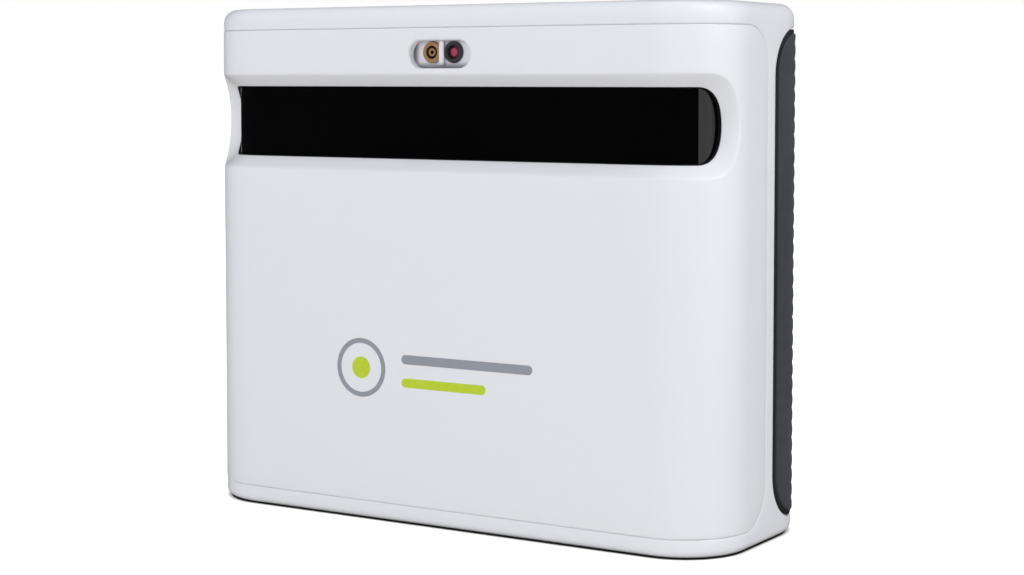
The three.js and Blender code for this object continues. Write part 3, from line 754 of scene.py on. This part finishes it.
def rear_housing():
    skin = Skin()
    columns = sorted(run if run > CUT_RUN else run + 2 * HALF_ROUND for run in COLUMNS)
    low, high = BOTTOM + BOTTOM_FILLET, TOP - TOP_FILLET
    rows = spread(low + ROW_STEP / 2, high, ROW_STEP)
    runs = [CUT_RUN, *columns, CUT_RUN + 2 * HALF_ROUND]

    def border(z0, z1):
        side = spread(z0, z1, ROW_STEP)[1:]
        lower = [(run, z0) for run in runs]
        upper = [(run, z1) for run in reversed(runs)]
        return lower + [(runs[-1], z) for z in side] + upper + [(runs[0], z) for z in reversed(side)]

    # Holes in the outer skin, each with its rounded edge
    outer_holes = []
    inner_holes = []

    def opening(outline, radius, depth):
        """Its outline is a function of how far it is widened. Gives its floor's outline and ring."""
        rings = skin.walls(outline, [*quarter(radius), (0, depth)])
        outer_holes.append((outline(radius), rings[0]))
        return outline(0), rings[-1]

    seam = opening(lambda grow: housing_cover_hole(SEAM_GAP + grow), SEAM_EDGE, WALL)
    inner_holes.append(seam)
    for side in (1, -1):
        bed = opening(lambda grow: grip_outline(side, -GRIP_EDGE_GAP - grow), SOFT_EDGE, GRIP_BED)
        skin.sheet(bed, [], GRIP_BED, columns, rows)
    inner_holes.append(opening(lambda grow: panel_outline(-grow, GAP), PANEL_EDGE, WALL))

    for run, z in screw_places():
        profile = [(WELL_RADIUS + inset, REAR - depth) for inset, depth in quarter(SOFT_EDGE)]
        profile += [(WELL_RADIUS, WELL_FLOOR_Y), (1.75, WELL_FLOOR_Y), (1.75, POST_Y)]
        profile += [(WELL_RADIUS + 1.6, POST_Y), (WELL_RADIUS + 1.6, REAR - WALL)]
        well = [skin.loop([(HALF_ROUND - p, y, q) for p, q in circle(run, z, r)]) for r, y in profile]
        skin.strips(well)
        outer_holes.append((circle(run, z, profile[0][0]), well[0]))
        inner_holes.append((circle(run, z, profile[-1][0]), well[-1]))

    outer = border(low, high)
    outer_ring = skin.ring(outer, 0)
    skin.sheet((outer, outer_ring), outer_holes, 0, columns, rows)
    inner = border(BOTTOM + WALL, TOP - WALL)
    inner_ring = skin.ring(inner, WALL)
    skin.sheet((inner, inner_ring), inner_holes, WALL, columns, rows, 2)

    # Top and bottom: a quarter round, then a flat cap. The pad bed is let into the bottom.
    def level(inset, z):
        return skin.ring([(run, z) for run in runs[:-1]], inset)

    def round_edge(radius, steps):
        angles = [math.pi / 2 * i / steps for i in range(steps + 1)]
        return [(radius * (1 - math.cos(a)), radius * math.sin(a)) for a in angles]

    upper = [level(inset, high + rise) for inset, rise in round_edge(TOP_FILLET, 8)]
    upper += [level(TOP_FILLET + 0.6, TOP), level(TOP_FILLET + 3, TOP)]
    skin.strips(upper)
    skin.cap(upper[-1])
    pad_inset = PAD_LOW.x + HALF_WIDTH - GAP
    lower = [level(inset, low - rise) for inset, rise in round_edge(BOTTOM_FILLET, 5)]
    lower += [level(pad_inset, BOTTOM), level(pad_inset, PAD_HIGH.z + GAP)]
    skin.strips(lower)
    skin.cap(lower[-1])
    skin.cap(level(WALL, BOTTOM + WALL))
    skin.cap(level(WALL, TOP - WALL))
    make_piece(skin, "housing_shell", WHITE, ["rear_housing"])


def seam_tongue():
    """The lip that closes the seam from behind, with a crest that reaches up into it."""
    skin = Skin()
    front, back = WALL + 0.25, WALL + 1.4
    crest = [(SEAM_GAP - 0.02, SEAM_CREST), (0.02, SEAM_CREST)]
    shape = [(2.5, front), (SEAM_GAP - 0.02, front), *crest, (0.02, front)]
    shape += [(-2, front), (-2, back), (2.5, back)]
    rings = skin.walls(housing_cover_hole, shape)
    skin.strip(rings[-1], rings[0])
    make_piece(skin, "seam_tongue", WHITE, ["rear_housing"])


front_cover()
rear_housing()
seam_tongue()


# ---- Window pane and gasket ----
PANE_SINK = 1.0  # face of the pane below the throat
PANE_DISH = 1.1  # how much deeper the pane lies at its two ends
PANE_BEND = alongside(42.5)
PANE_THICKNESS = 2
GASKET_LIP = 0.25


def pane_depth(run, z):
    """The pane is creased near both ends and turns inwards from there."""
    turn = max(0, (abs(run) - PANE_BEND) / (alongside(THROAT["tip"]) - PANE_BEND))
    return THROAT_DEPTH + PANE_SINK + PANE_DISH * turn


def window_pane():
    skin = Skin()
    right = window_stations(1, 0.4)
    stations = [(-run, half) for run, half in reversed(right[1:])] + right
    rows = 12

    def face(shift):
        grid = []
        for run, half in stations:
            heights = [WINDOW_Z + half * (2 * i / rows - 1) for i in range(rows + 1)]
            grid.append([skin.point(run, pane_depth(run, z) + shift, z) for z in heights])
        return grid

    front, back = face(0), face(PANE_THICKNESS)
    skin.grid(front)
    skin.grid(back)
    for column, other, next_column, next_other in zip(front, back, front[1:], back[1:]):
        skin.quad(column[0], next_column[0], next_other[0], other[0])
        skin.quad(column[-1], next_column[-1], next_other[-1], other[-1])
    make_piece(skin, "pane", WINDOW, ["window_pane"], sharp=6)


def window_gasket():
    """A black lining from just behind the bevel down to the pane."""
    skin = Skin()
    front = THROAT_DEPTH + 0.22
    lip = -GASKET_LIP

    def onto_pane(run, z):
        return max(pane_depth(run, z), front + 0.5) + 0.2

    shape = [(1.2, onto_pane), (1.2, tip_depth(front)), (lip + 0.2, tip_depth(front))]
    shape += [(lip, tip_depth(front + 0.2)), (lip, onto_pane)]
    rings = skin.walls(lambda grow: window_outline(1, grow), shape)
    skin.strip(rings[-1], rings[0])
    make_piece(skin, "gasket", GASKET_BLACK, ["window_gasket"])


window_pane()
window_gasket()


# ---- Rubber grips: a flat border let into the housing and a raised, ribbed field ----
BORDER_WIDTH = 1.1
FIELD_STEP = 0.65
GRIP_PROUD = GRIP_HIGH.x - HALF_WIDTH
GRIP_SUNK = 1.0
RIB_PITCH = 4.2
RIB_DEPTH = 0.3
RIB_ROW = 0.6
GRIP_COLUMNS = 26


def grip_rows(inset):
    """Heights of the rows of a grip, close together in the round corners. Their number never changes."""
    radius = GRIP_CORNER - inset
    ends = [radius * (1 - math.cos(math.radians(7.5 * i))) for i in range(6)]
    height = GRIP_HIGH.z - GRIP_LOW.z - 2 * inset
    count = math.ceil((GRIP_HIGH.z - GRIP_LOW.z) / RIB_ROW)
    middle = [ends[-1] + (height - 2 * ends[-1]) * i / count for i in range(1, count)]
    heights = ends + middle + [height - rise for rise in reversed(ends)]
    return [GRIP_LOW.z + inset + rise for rise in heights]


def grip_span(z, inset):
    """Where a row of a grip starts and ends along the wall."""
    radius = GRIP_CORNER - inset
    reach = min(z - GRIP_LOW.z, GRIP_HIGH.z - z) - inset
    cut = radius - math.sqrt(max(0, radius**2 - (radius - reach) ** 2)) if reach < radius else 0
    return GRIP_FRONT_RUN + inset + cut, GRIP_REAR_RUN - inset - cut


def rib_valley(run, z):
    """How far the ribbed surface lies below its ridges: narrow valleys, fainter towards the front."""
    wave = abs(math.sin(math.pi * (z - GRIP_LOW.z) / RIB_PITCH))
    fade = min(1, max(0, (run - GRIP_FRONT_RUN - 3) / 12))
    return RIB_DEPTH * (0.35 + 0.65 * fade) * (1 - wave**0.6)


def grip_points(inset):
    """(run, z) of the points of a grip's field, row by row."""
    grid = []
    for z in grip_rows(inset):
        start, end = grip_span(z, inset)
        grid.append([(start + (end - start) * i / GRIP_COLUMNS, z) for i in range(GRIP_COLUMNS + 1)])
    return grid


def rim(grid):
    left = [row[0] for row in grid[1:-1]]
    right = [row[-1] for row in grid[1:-1]]
    return grid[0] + right + grid[-1][::-1] + left[::-1]


def grip_loop(skin, side, inset, sink):
    return [skin.point(side * run, sink, z) for run, z in rim(grip_points(inset))]


def grip(side, node):
    border = Skin()
    shape = [(0, GRIP_SUNK), *reversed(quarter(0.3)), (BORDER_WIDTH + 0.4, 0)]
    border.strips([grip_loop(border, side, inset, depth) for inset, depth in shape])
    # The border's darker colour is painted shade of the gap round the grip.
    make_piece(border, f"{node}_border", SHADED_BORDER_RUBBER, [node], sharp=50)

    field = Skin()
    crown = []
    for row in grip_points(BORDER_WIDTH + FIELD_STEP):
        crown.append([field.point(side * run, rib_valley(run, z) - GRIP_PROUD, z) for run, z in row])
    field.grid(crown)
    steps = [(BORDER_WIDTH, 0.05), (BORDER_WIDTH + 0.06, -0.22), (BORDER_WIDTH + 0.25, -0.4)]
    rings = [grip_loop(field, side, reach, depth) for reach, depth in steps]
    field.strips([*rings, rim(crown)])
    make_piece(field, f"{node}_field", GRIP_RUBBER, [node], sharp=60)


grip(1, "grip_right")
grip(-1, "grip_left")


# ---- Base pad ----
PAD_FLANGE = 1.2  # how far the foot of the pad stays inside the outline of the housing


def base_pad():
    skin = Skin()
    inset = PAD_LOW.x + HALF_WIDTH
    foot = PAD_LOW.z
    groove = [(inset + 7, foot), (inset + 6.6, foot + 0.4), (inset + 5.4, foot + 0.4), (inset + 5, foot)]
    flange = [(PAD_FLANGE + 0.15, foot), (PAD_FLANGE, foot + 0.08), (PAD_FLANGE, BOTTOM - 0.04)]
    stem = [(inset, BOTTOM - 0.04), (inset, PAD_HIGH.z)]
    rings = [skin.ring([(run, z) for run in COLUMNS], reach) for reach, z in groove + flange + stem]
    skin.solid(rings)
    make_piece(skin, "pad", BLACK_RUBBER, ["base_pad"])


base_pad()


# ---- Round pieces along Y ----
def lathe_rings(skin, x, z, profile, steps):
    """Rings round a Y axis from (radius, y) pairs."""
    return [skin.loop([(p, y, q) for p, q in circle(x, z, radius, steps)]) for radius, y in profile]


def lathe(skin, x, z, profile, steps=40):
    """The same rings, joined and closed at both ends of the profile."""
    skin.solid(lathe_rings(skin, x, z, profile, steps))


# ---- Laser and receiver aperture ----
INSERT_LOW, INSERT_HIGH = node_box("aperture_insert")
TUBE_LOW, TUBE_HIGH = node_box("laser_barrel")
TUBE_RADIUS = (TUBE_HIGH.x - TUBE_LOW.x) / 2
TUBE_FACE = TUBE_LOW.y
LASER = middle_of("laser_barrel")
RECEIVER = middle_of("receiver_tube")
BOWL_DEPTH = 0.9  # floor of the bowl behind the faces of the tubes
RIB_HALF = 0.8
RIB_RISE = 0.45


def aperture_insert():
    """The white bowl round the two tubes; the upright rib between them is a piece of its own."""
    skin = Skin()
    front = TUBE_FACE - FRONT
    back = INSERT_HIGH.y - FRONT
    z_bowl = LASER.z - 0.2

    def plate(inset):
        sides = (-INSERT_HIGH.x, INSERT_HIGH.x, INSERT_LOW.z, INSERT_HIGH.z)
        return rounded_box(*sides, 4, inset, step=2)

    def bowl(inset):
        half_width, half_height = 10.9 - inset, 4.3 - inset
        x0, x1 = APERTURE_X - half_width, APERTURE_X + half_width
        return rounded_box(x0, x1, z_bowl - half_height, z_bowl + half_height, 4.29 - inset, step=2)

    angles = [math.radians(15 * i) for i in range(7)]
    sweep = [(0.7 * (1 - math.cos(a)), front + BOWL_DEPTH * math.sin(a)) for a in angles]
    outer = skin.walls(plate, [(0, back), (0, front + 0.3), (0.3, front)])
    inner = skin.walls(bowl, sweep)
    skin.sheet((plate(0.3), outer[-1]), [(bowl(0), inner[0])], front, [], [])
    floor = front + BOWL_DEPTH
    holes = []
    backs = []
    for tube in (LASER, RECEIVER):
        outline = circle(tube.x, tube.z, TUBE_RADIUS + 0.06, 40)
        rings = skin.walls(lambda inset: outline, [(0, floor), (0, back)])
        holes.append((outline, rings[0]))
        backs.append((outline, rings[1]))
    skin.sheet((bowl(sweep[-1][0]), inner[-1]), holes, floor, [], [])
    skin.sheet((plate(0), outer[0]), backs, back, [], [])
    make_piece(skin, "aperture_bowl", WELL, ["aperture_insert"], sharp=40)


def aperture_rib():
    """The rib between the tubes, as its section seen from above: a round nose on a thin web."""
    skin = Skin()
    section = [(0.45, TUBE_FACE + 1.2), (0.45, TUBE_FACE - 0.05), (0.8, TUBE_FACE - 0.1)]
    for angle in spread(0, 1.5, 0.3):
        section.append((RIB_HALF * math.cos(angle), TUBE_FACE - 0.25 - RIB_RISE * math.sin(angle)))
    section += [(-x, y) for x, y in reversed(section)]
    low, high = APERTURE_Z - 2.9, APERTURE_Z + APERTURE_HALF_HEIGHT - 0.1
    rings = [skin.loop([(x, y, z) for x, y in section]) for z in (low, high)]
    skin.solid(rings)
    make_piece(skin, "aperture_rib", WELL, ["aperture_insert"], sharp=60)


def laser_barrel():
    skin = Skin()
    r, face = TUBE_RADIUS, TUBE_FACE
    back = TUBE_HIGH.y
    profile = [(r - 0.2, back), (r, back - 0.2), (r, face + 0.25), (r - 0.22, face)]
    profile += [(2.55, face), (2.48, face + 0.06), (2.4, face), (1.9, face), (1.82, face + 0.08)]
    profile += [(1.8, face + 1.4), (1.25, face + 1.4), (1.25, face + 0.4), (1.15, face + 0.3)]
    profile += [(0.5, face + 0.35), (0.5, face + 5)]
    lathe(skin, LASER.x, LASER.z, profile, 48)
    make_piece(skin, "laser_barrel_turned", LASER_BRASS, ["laser_barrel"])


def receiver_tube():
    skin = Skin()
    r, face = TUBE_RADIUS, TUBE_FACE
    profile = [(r - 0.2, TUBE_HIGH.y), (r, TUBE_HIGH.y - 0.2), (r, face + 0.3), (r - 0.28, face)]
    profile += [(2.15, face), (1.95, face + 0.2), (1.95, face + 2.6)]
    lathe(skin, RECEIVER.x, RECEIVER.z, profile, 48)
    make_piece(skin, "receiver_tube_turned", TUBE_BLACK, ["receiver_tube"])


def receiver_lens():
    low, high = node_box("receiver_lens")
    radius = (high.x - low.x) / 2
    skin = Skin()
    dome = [(radius * math.sin(a), high.y - 0.5 - 0.75 * math.cos(a)) for a in spread(0.02, 1.57, 0.16)]
    profile = [(radius - 0.15, high.y), (radius, high.y - 0.15), (radius, high.y - 0.5), *reversed(dome)]
    lathe(skin, RECEIVER.x, RECEIVER.z, profile, 40)
    make_piece(skin, "receiver_lens_dome", PINK_GLASS, ["receiver_lens"])


aperture_insert()
aperture_rib()
laser_barrel()
receiver_tube()
receiver_lens()


# ---- Printed mark on the front: a target ring and two bars ----
INK_THICKNESS = 0.06
MARK_Z = 43.6


def ink(name, outlines, material):
    """Raised ink: each shape is a list of closed outlines, the first outside and the rest holes."""
    skin = Skin()
    top = -COVER_PROUD - INK_THICKNESS
    for shape in outlines:
        upper = [skin.ring(outline, top) for outline in shape]
        lower = [skin.ring(outline, -COVER_PROUD + 0.05) for outline in shape]
        for a, b in zip(upper, lower):
            skin.strip(a, b)
        skin.sheet((shape[0], upper[0]), list(zip(shape[1:], upper[1:])), top, [], [])
    make_piece(skin, name, material)


def bar(x0, x1, z, height):
    return rounded_box(x0, x1, z - height / 2, z + height / 2, height / 2 - 0.02, 0, step=3)


def printed_mark():
    ring = [circle(-26, MARK_Z, 8.4, 64), circle(-26, MARK_Z, 7, 64)]
    ink("mark_grey", [ring, [bar(-12, 31, MARK_Z + 3.3, 2.6)]], GREY_INK)
    ink("mark_lime", [[circle(-26, MARK_Z, 3.1, 40)], [bar(-12, 16, MARK_Z - 3.3, 2.6)]], LIME_INK)


printed_mark()


# ---- Rear control panel ----
PANEL_FACE = 0.4  # below the rear wall
PANEL_BACK = 3.7
BUTTON_LOW, BUTTON_HIGH = node_box("power_button")
KNOB_LOW, KNOB_HIGH = node_box("mode_knob")
USB_LOW, USB_HIGH = node_box("usb_socket")
LIGHT_LOW, LIGHT_HIGH = node_box("light_pipe")
PANEL_Z = middle_of("control_panel").z
BUTTON_X = middle_of("power_button").x
BUTTON_RADIUS = 4.5
LIGHT_X = middle_of("light_pipe").x
KNOB_TRAVEL = 4


def on_rear(x0, x1, height, radius, inset=0):
    """A rounded rectangle on the rear wall at panel height."""
    z0, z1 = PANEL_Z - height / 2, PANEL_Z + height / 2
    return rounded_box(HALF_ROUND - x1, HALF_ROUND - x0, z0, z1, radius, inset, arc_steps=8, step=2)


def panel_holes(grow):
    """Outlines of the holes for the button, the light, the socket and the knob."""
    return [
        circle(HALF_ROUND - BUTTON_X, PANEL_Z, BUTTON_RADIUS + 0.28 + grow, 48),
        circle(HALF_ROUND - LIGHT_X, PANEL_Z, 1.62 + grow, 24),
        on_rear(USB_LOW.x - 0.25, USB_HIGH.x + 0.25, 3.3, 1.2, -grow),
        on_rear(KNOB_LOW.x - 0.3, KNOB_HIGH.x + KNOB_TRAVEL + 0.3, 4.6, 1, -grow),
    ]


def control_panel():
    skin = Skin()
    outer = [(0, PANEL_BACK), (0, PANEL_FACE + 0.4), (0.12, PANEL_FACE + 0.12), (0.4, PANEL_FACE)]
    lips = [(0.3, PANEL_FACE), (0.09, PANEL_FACE + 0.09), (0, PANEL_FACE + 0.3), (0, PANEL_BACK)]
    rings = skin.walls(panel_outline, outer)
    face_holes = []
    back_holes = []
    for index in range(4):
        hole = skin.walls(lambda grow: panel_holes(grow)[index], lips)
        face_holes.append((panel_holes(0.3)[index], hole[0]))
        back_holes.append((panel_holes(0)[index], hole[-1]))
    skin.sheet((panel_outline(0.4), rings[-1]), face_holes, PANEL_FACE, [], [])
    skin.sheet((panel_outline(0), rings[0]), back_holes, PANEL_BACK, [], [])
    make_piece(skin, "panel_plate", GREY_PLASTIC, ["control_panel"])


def power_button():
    """A dished cap on a collar and a stem."""
    skin = Skin()
    face, foot = BUTTON_HIGH.y, BUTTON_LOW.y
    r = BUTTON_RADIUS
    collar = foot + 1
    stem = [(1.6, foot), (1.6, collar), (r + 1.2, collar), (r + 1.3, collar + 0.1)]
    flange = [(r + 1.3, collar + 0.9), (r + 1.2, collar + 1), (r, collar + 1)]
    cap = [(r, face - 0.5), (r - 0.15, face - 0.15), (r - 0.5, face), (r - 0.9, face - 0.04)]
    dish = [(radius, face - 0.32 + 0.28 * (radius / 3.6) ** 2) for radius in (3.3, 2.6, 1.8, 1, 0.2)]
    profile = stem + flange + cap + dish
    lathe(skin, BUTTON_X, PANEL_Z, profile, 48)
    make_piece(skin, "power_cap", BUTTON_BLACK, ["power_button"], "power_button")


def power_symbol():
    """A broken ring with an upright stroke, printed in the dish of the button."""
    skin = Skin()
    y0, y1 = BUTTON_HIGH.y - 0.36, BUTTON_HIGH.y - 0.14
    gap = math.radians(34)
    turns = [math.pi / 2 + gap + (2 * math.pi - 2 * gap) * i / 40 for i in range(41)]
    outer = [(1.75 * math.cos(a), 1.75 * math.sin(a)) for a in turns]
    inner = [(1.4 * math.cos(a), 1.4 * math.sin(a)) for a in reversed(turns)]
    stroke = [(0.17, 0.5), (0.17, 2.0), (-0.17, 2.0), (-0.17, 0.5)]
    for outline in (outer + inner, stroke):
        levels = []
        for y in (y0, y1):
            levels.append(skin.loop([(BUTTON_X + p, y, PANEL_Z + q) for p, q in outline]))
        skin.strips(levels)
        for level in levels:
            fill_loop(skin, level, outline)
    make_piece(skin, "power_symbol", WHITE_INK, [], "power_button")


def fill_loop(skin, ring, outline):
    points = [Vector(p) for p in outline]
    edges = [(i, (i + 1) % len(points)) for i in range(len(points))]
    found, _, faces, origins, _, _ = delaunay_2d_cdt(points, edges, [], 0, 1e-5)
    for face in faces:
        middle = sum((found[i] for i in face), Vector((0, 0))) / len(face)
        if inside(middle, outline):
            skin.bm.faces.new([ring[origins[i][0]] for i in face])


def mode_knob():
    """A rounded cap with grip ridges, on a foot that reaches into the switch."""
    skin = Skin()
    x0, x1 = KNOB_LOW.x, KNOB_HIGH.x
    top = REAR - KNOB_HIGH.y  # sink of the face, negative when proud
    foot = REAR - KNOB_LOW.y
    deck = REAR - (PANEL_LOW.y - 0.5)
    shape = [(0, deck), (0, top + 0.75), (0.1, top + 0.5), (0.35, top + 0.4)]
    skin.solid([skin.ring(on_rear(x0, x1, 4, 0.8, inset), depth) for inset, depth in shape])
    for place in (-1.35, -0.45, 0.45, 1.35):
        x = (x0 + x1) / 2 + place
        shape = [(0, top + 0.6), (0, top + 0.15), (0.12, top)]
        skin.cap(skin.walls(lambda inset: on_rear(x - 0.24, x + 0.24, 3, 0.22, inset), shape)[-1])
    stem = skin.walls(lambda inset: on_rear(x0 + 1.2, x1 - 1.2, 2, 0.3), [(0, foot), (0, deck - 0.05)])
    skin.cap(stem[0])
    make_piece(skin, "knob_cap", BUTTON_BLACK, ["mode_knob"], "mode_knob")


def usb_socket():
    """A drawn steel shell with a flared rim round a contact tongue."""
    skin = Skin()
    x0, x1 = USB_LOW.x, USB_HIGH.x
    face, back = REAR - USB_HIGH.y, REAR - USB_LOW.y
    rim = [(0, face + 0.1), (0.08, face), (0.32, face), (0.4, face + 0.1)]
    shape = [(0, back), *rim, (0.4, face + 5.5)]
    skin.solid([skin.ring(on_rear(x0, x1, 2.8, 0.9, inset), depth) for inset, depth in shape])
    make_piece(skin, "usb_shell", STEEL, ["usb_socket"])


def usb_tongue():
    skin = Skin()
    middle = middle_of("usb_socket").x
    face = REAR - USB_HIGH.y
    shape = [(0, face + 5.4), (0, face + 1.1), (0.12, face + 0.9)]
    skin.cap(skin.walls(lambda inset: on_rear(middle - 2.4, middle + 2.4, 0.7, 0.2, inset), shape)[-1])
    make_piece(skin, "usb_tongue", CHIP_BLACK, ["usb_socket"])


def light_pipe():
    skin = Skin()
    face, back = LIGHT_HIGH.y, LIGHT_LOW.y
    profile = [(1.4, back), (1.5, back + 0.1), (1.5, face - 0.35), (1.38, face - 0.15)]
    profile += [(1.0, face - 0.03), (0.3, face)]
    lathe(skin, LIGHT_X, PANEL_Z, profile, 28)
    make_piece(skin, "light_pipe_rod", CLEAR_PLASTIC, ["light_pipe"])


def housing_screw(node):
    """A pan head with a six-lobed recess."""
    skin = Skin()
    low, high = node_box(node)
    x, _, z = middle_of(node)
    radius = (high.x - low.x) / 2
    head = high.y - WELL_FLOOR_Y
    y0 = WELL_FLOOR_Y + 0.02
    profile = [(1.4, low.y), (1.4, y0), (radius - 0.15, y0), (radius, y0 + 0.15)]
    dome = ((1, 0.45), (0.93, 0.75), (0.75, 0.94))
    profile += [(radius * share, y0 + head * rise) for share, rise in dome]
    profile.append((radius * 0.55, high.y))
    steps = 48
    rings = lathe_rings(skin, x, z, profile, steps)
    for y in (high.y, high.y - 1.1):
        points = []
        for i in range(steps):
            angle = 2 * math.pi * i / steps
            reach = radius * (0.4 + 0.055 * math.cos(6 * angle))
            points.append((x + reach * math.cos(angle), y, z + reach * math.sin(angle)))
        rings.append(skin.loop(points))
    skin.solid(rings)
    make_piece(skin, f"{node}_head", SCREW_BLACK, [node])


control_panel()
power_button()
power_symbol()
mode_knob()
usb_socket()
usb_tongue()
light_pipe()
for screw_node in SCREW_NODES:
    housing_screw(screw_node)


# ---- CAD pieces that stay as they are: the material of their slot ----
def finish_inner_parts():
    for part in frame["record"]["subparts"]:
        for place in frame["nodes"][part["node"]].material_slots:
            place.material = SLOT_MATERIALS[part["material_slot"]]


finish_inner_parts()


# ---- Camera, floor and light ----
def aim_camera():
    data = bpy.data.cameras.new("camera")
    data.sensor_width = 36
    data.lens = 72.35
    data.shift_y = -0.08
    camera = bpy.data.objects.new("camera", data)
    camera.location = (0.3181, -0.5029, 0.1255)
    camera.rotation_euler = (math.radians(90 - 3.52), 0, math.radians(31.93))
    bpy.context.scene.collection.objects.link(camera)
    bpy.context.scene.camera = camera


def soft_box(name, azimuth, distance, rise, radiance, width=0.7, reflected=True, lit=True):
    """A rectangular light that faces the object. Azimuth 0 is straight in front, 90 to the right."""
    data = bpy.data.lights.new(name, "AREA")
    data.shape = "RECTANGLE"
    data.size, data.size_y = width, 0.7
    data.energy = radiance * math.pi * width * 0.7
    light = bpy.data.objects.new(name, data)
    angle = math.radians(azimuth)
    light.location = (distance * math.sin(angle), -distance * math.cos(angle), rise)
    target = Vector((0, 0, 0.07)) - light.location
    light.rotation_euler = target.to_track_quat("-Z", "Y").to_euler()
    light.visible_glossy = reflected
    light.visible_diffuse = lit
    bpy.context.scene.collection.objects.link(light)


WORLD_FILL = 0.415
WORLD_MIRROR = 0.015


def studio_world():
    """White to the camera, cool grey as fill light and dark in mirror reflections."""
    world = bpy.data.worlds.new("studio")
    world.use_nodes = True
    bpy.context.scene.world = world
    nodes, links = world.node_tree.nodes, world.node_tree.links
    background = nodes["Background"]
    path = nodes.new("ShaderNodeLightPath")
    fill = nodes.new("ShaderNodeMix")
    fill.inputs["A"].default_value = WORLD_FILL
    fill.inputs["B"].default_value = WORLD_MIRROR
    seen = nodes.new("ShaderNodeMix")
    seen.inputs["B"].default_value = 1.0
    links.new(path.outputs["Is Glossy Ray"], fill.inputs["Factor"])
    links.new(fill.outputs["Result"], seen.inputs["A"])
    links.new(path.outputs["Is Camera Ray"], seen.inputs["Factor"])
    links.new(seen.outputs["Result"], background.inputs["Strength"])
    tint = nodes.new("ShaderNodeMix")
    tint.data_type = "RGBA"
    tint.inputs[6].default_value = (0.95, 0.97, 1.09, 1)
    tint.inputs[7].default_value = (1, 1, 1, 1)
    links.new(path.outputs["Is Camera Ray"], tint.inputs["Factor"])
    links.new(tint.outputs[2], background.inputs["Color"])


def outline_distance(finish):
    """Distance on the floor from the outline of the body, negative inside it."""
    flat = Vector((HALF_WIDTH - FRONT_RADIUS, REAR - FRONT_RADIUS, 0)) * MM
    vector = finish.math("ABSOLUTE", finish.coords, kind="VectorMath")
    vector = finish.math("SUBTRACT", vector, flat, "VectorMath")
    vector = finish.math("MAXIMUM", vector, (0, 0, 0), "VectorMath")
    length = finish.math("LENGTH", vector, kind="VectorMath")
    return finish.math("SUBTRACT", length, FRONT_RADIUS * MM)


def pale_floor():
    """A floor that is white to the camera but lights the object only by what falls on it. Its
    camera-only glow is painted light: stronger away from the body, and nothing at the body's outline,
    which paints a dark contact shadow line.
    """
    bm = bmesh.new()
    bmesh.ops.create_circle(bm, cap_ends=True, segments=96, radius=40)
    mesh = bpy.data.meshes.new("floor")
    bm.to_mesh(mesh)
    bm.free()
    floor = bpy.data.objects.new("floor", mesh)
    bpy.context.scene.collection.objects.link(floor)
    finish = Finish("floor_white", Roughness=0.9, Specular_IOR_Level=0.1)
    finish.shader.inputs["Base Color"].default_value = (0.72, 0.7, 0.66, 1)
    finish.shader.inputs["Emission Color"].default_value = (1, 1, 1, 1)
    distance = outline_distance(finish)
    # Painted light: the glow is stronger away from the body, washing out shade there, and falls to
    # nothing at the outline as a painted contact shadow.
    lift = finish.between(distance, 0.64, 0.85, 0.03, 0.3)
    contact_shadow = finish.between(distance, 0, 1, -0.0012, 0.0004)
    path = finish.nodes.new("ShaderNodeLightPath")
    glow = finish.math("MULTIPLY", finish.math("MULTIPLY", lift, contact_shadow), path.outputs["Is Camera Ray"])
    finish.link(glow, finish.shader.inputs["Emission Strength"])
    mesh.materials.append(finish.material)
    floor.visible_glossy = False


aim_camera()
pale_floor()
studio_world()
soft_box("left", -70, 1.1, 0.25, 1.51, reflected=False)
soft_box("front_left", -30, 1.1, 0.25, 0.52, reflected=False)
soft_box("front", 0, 1.1, 0.25, 2.3, reflected=False)
soft_box("front_right", 30, 1.1, 0.25, 1.18, reflected=False)
soft_box("right", 85, 1.1, 0.3, 0.78, width=1.05, reflected=False)
soft_box("right_mirror", 92, 1.1, 0.3, 1.05, width=1.3, lit=False)
soft_box("high_right", 90, 0.75, 1.0, 3.23)
soft_box("top", 0, 0.05, 1.3, 0.76)
soft_box("rear_left", -160, 1.1, 0.35, 1.2, reflected=False)
soft_box("rear_right", 160, 1.1, 0.35, 1.2, reflected=False)
bpy.context.scene.view_settings.view_transform = "Standard"
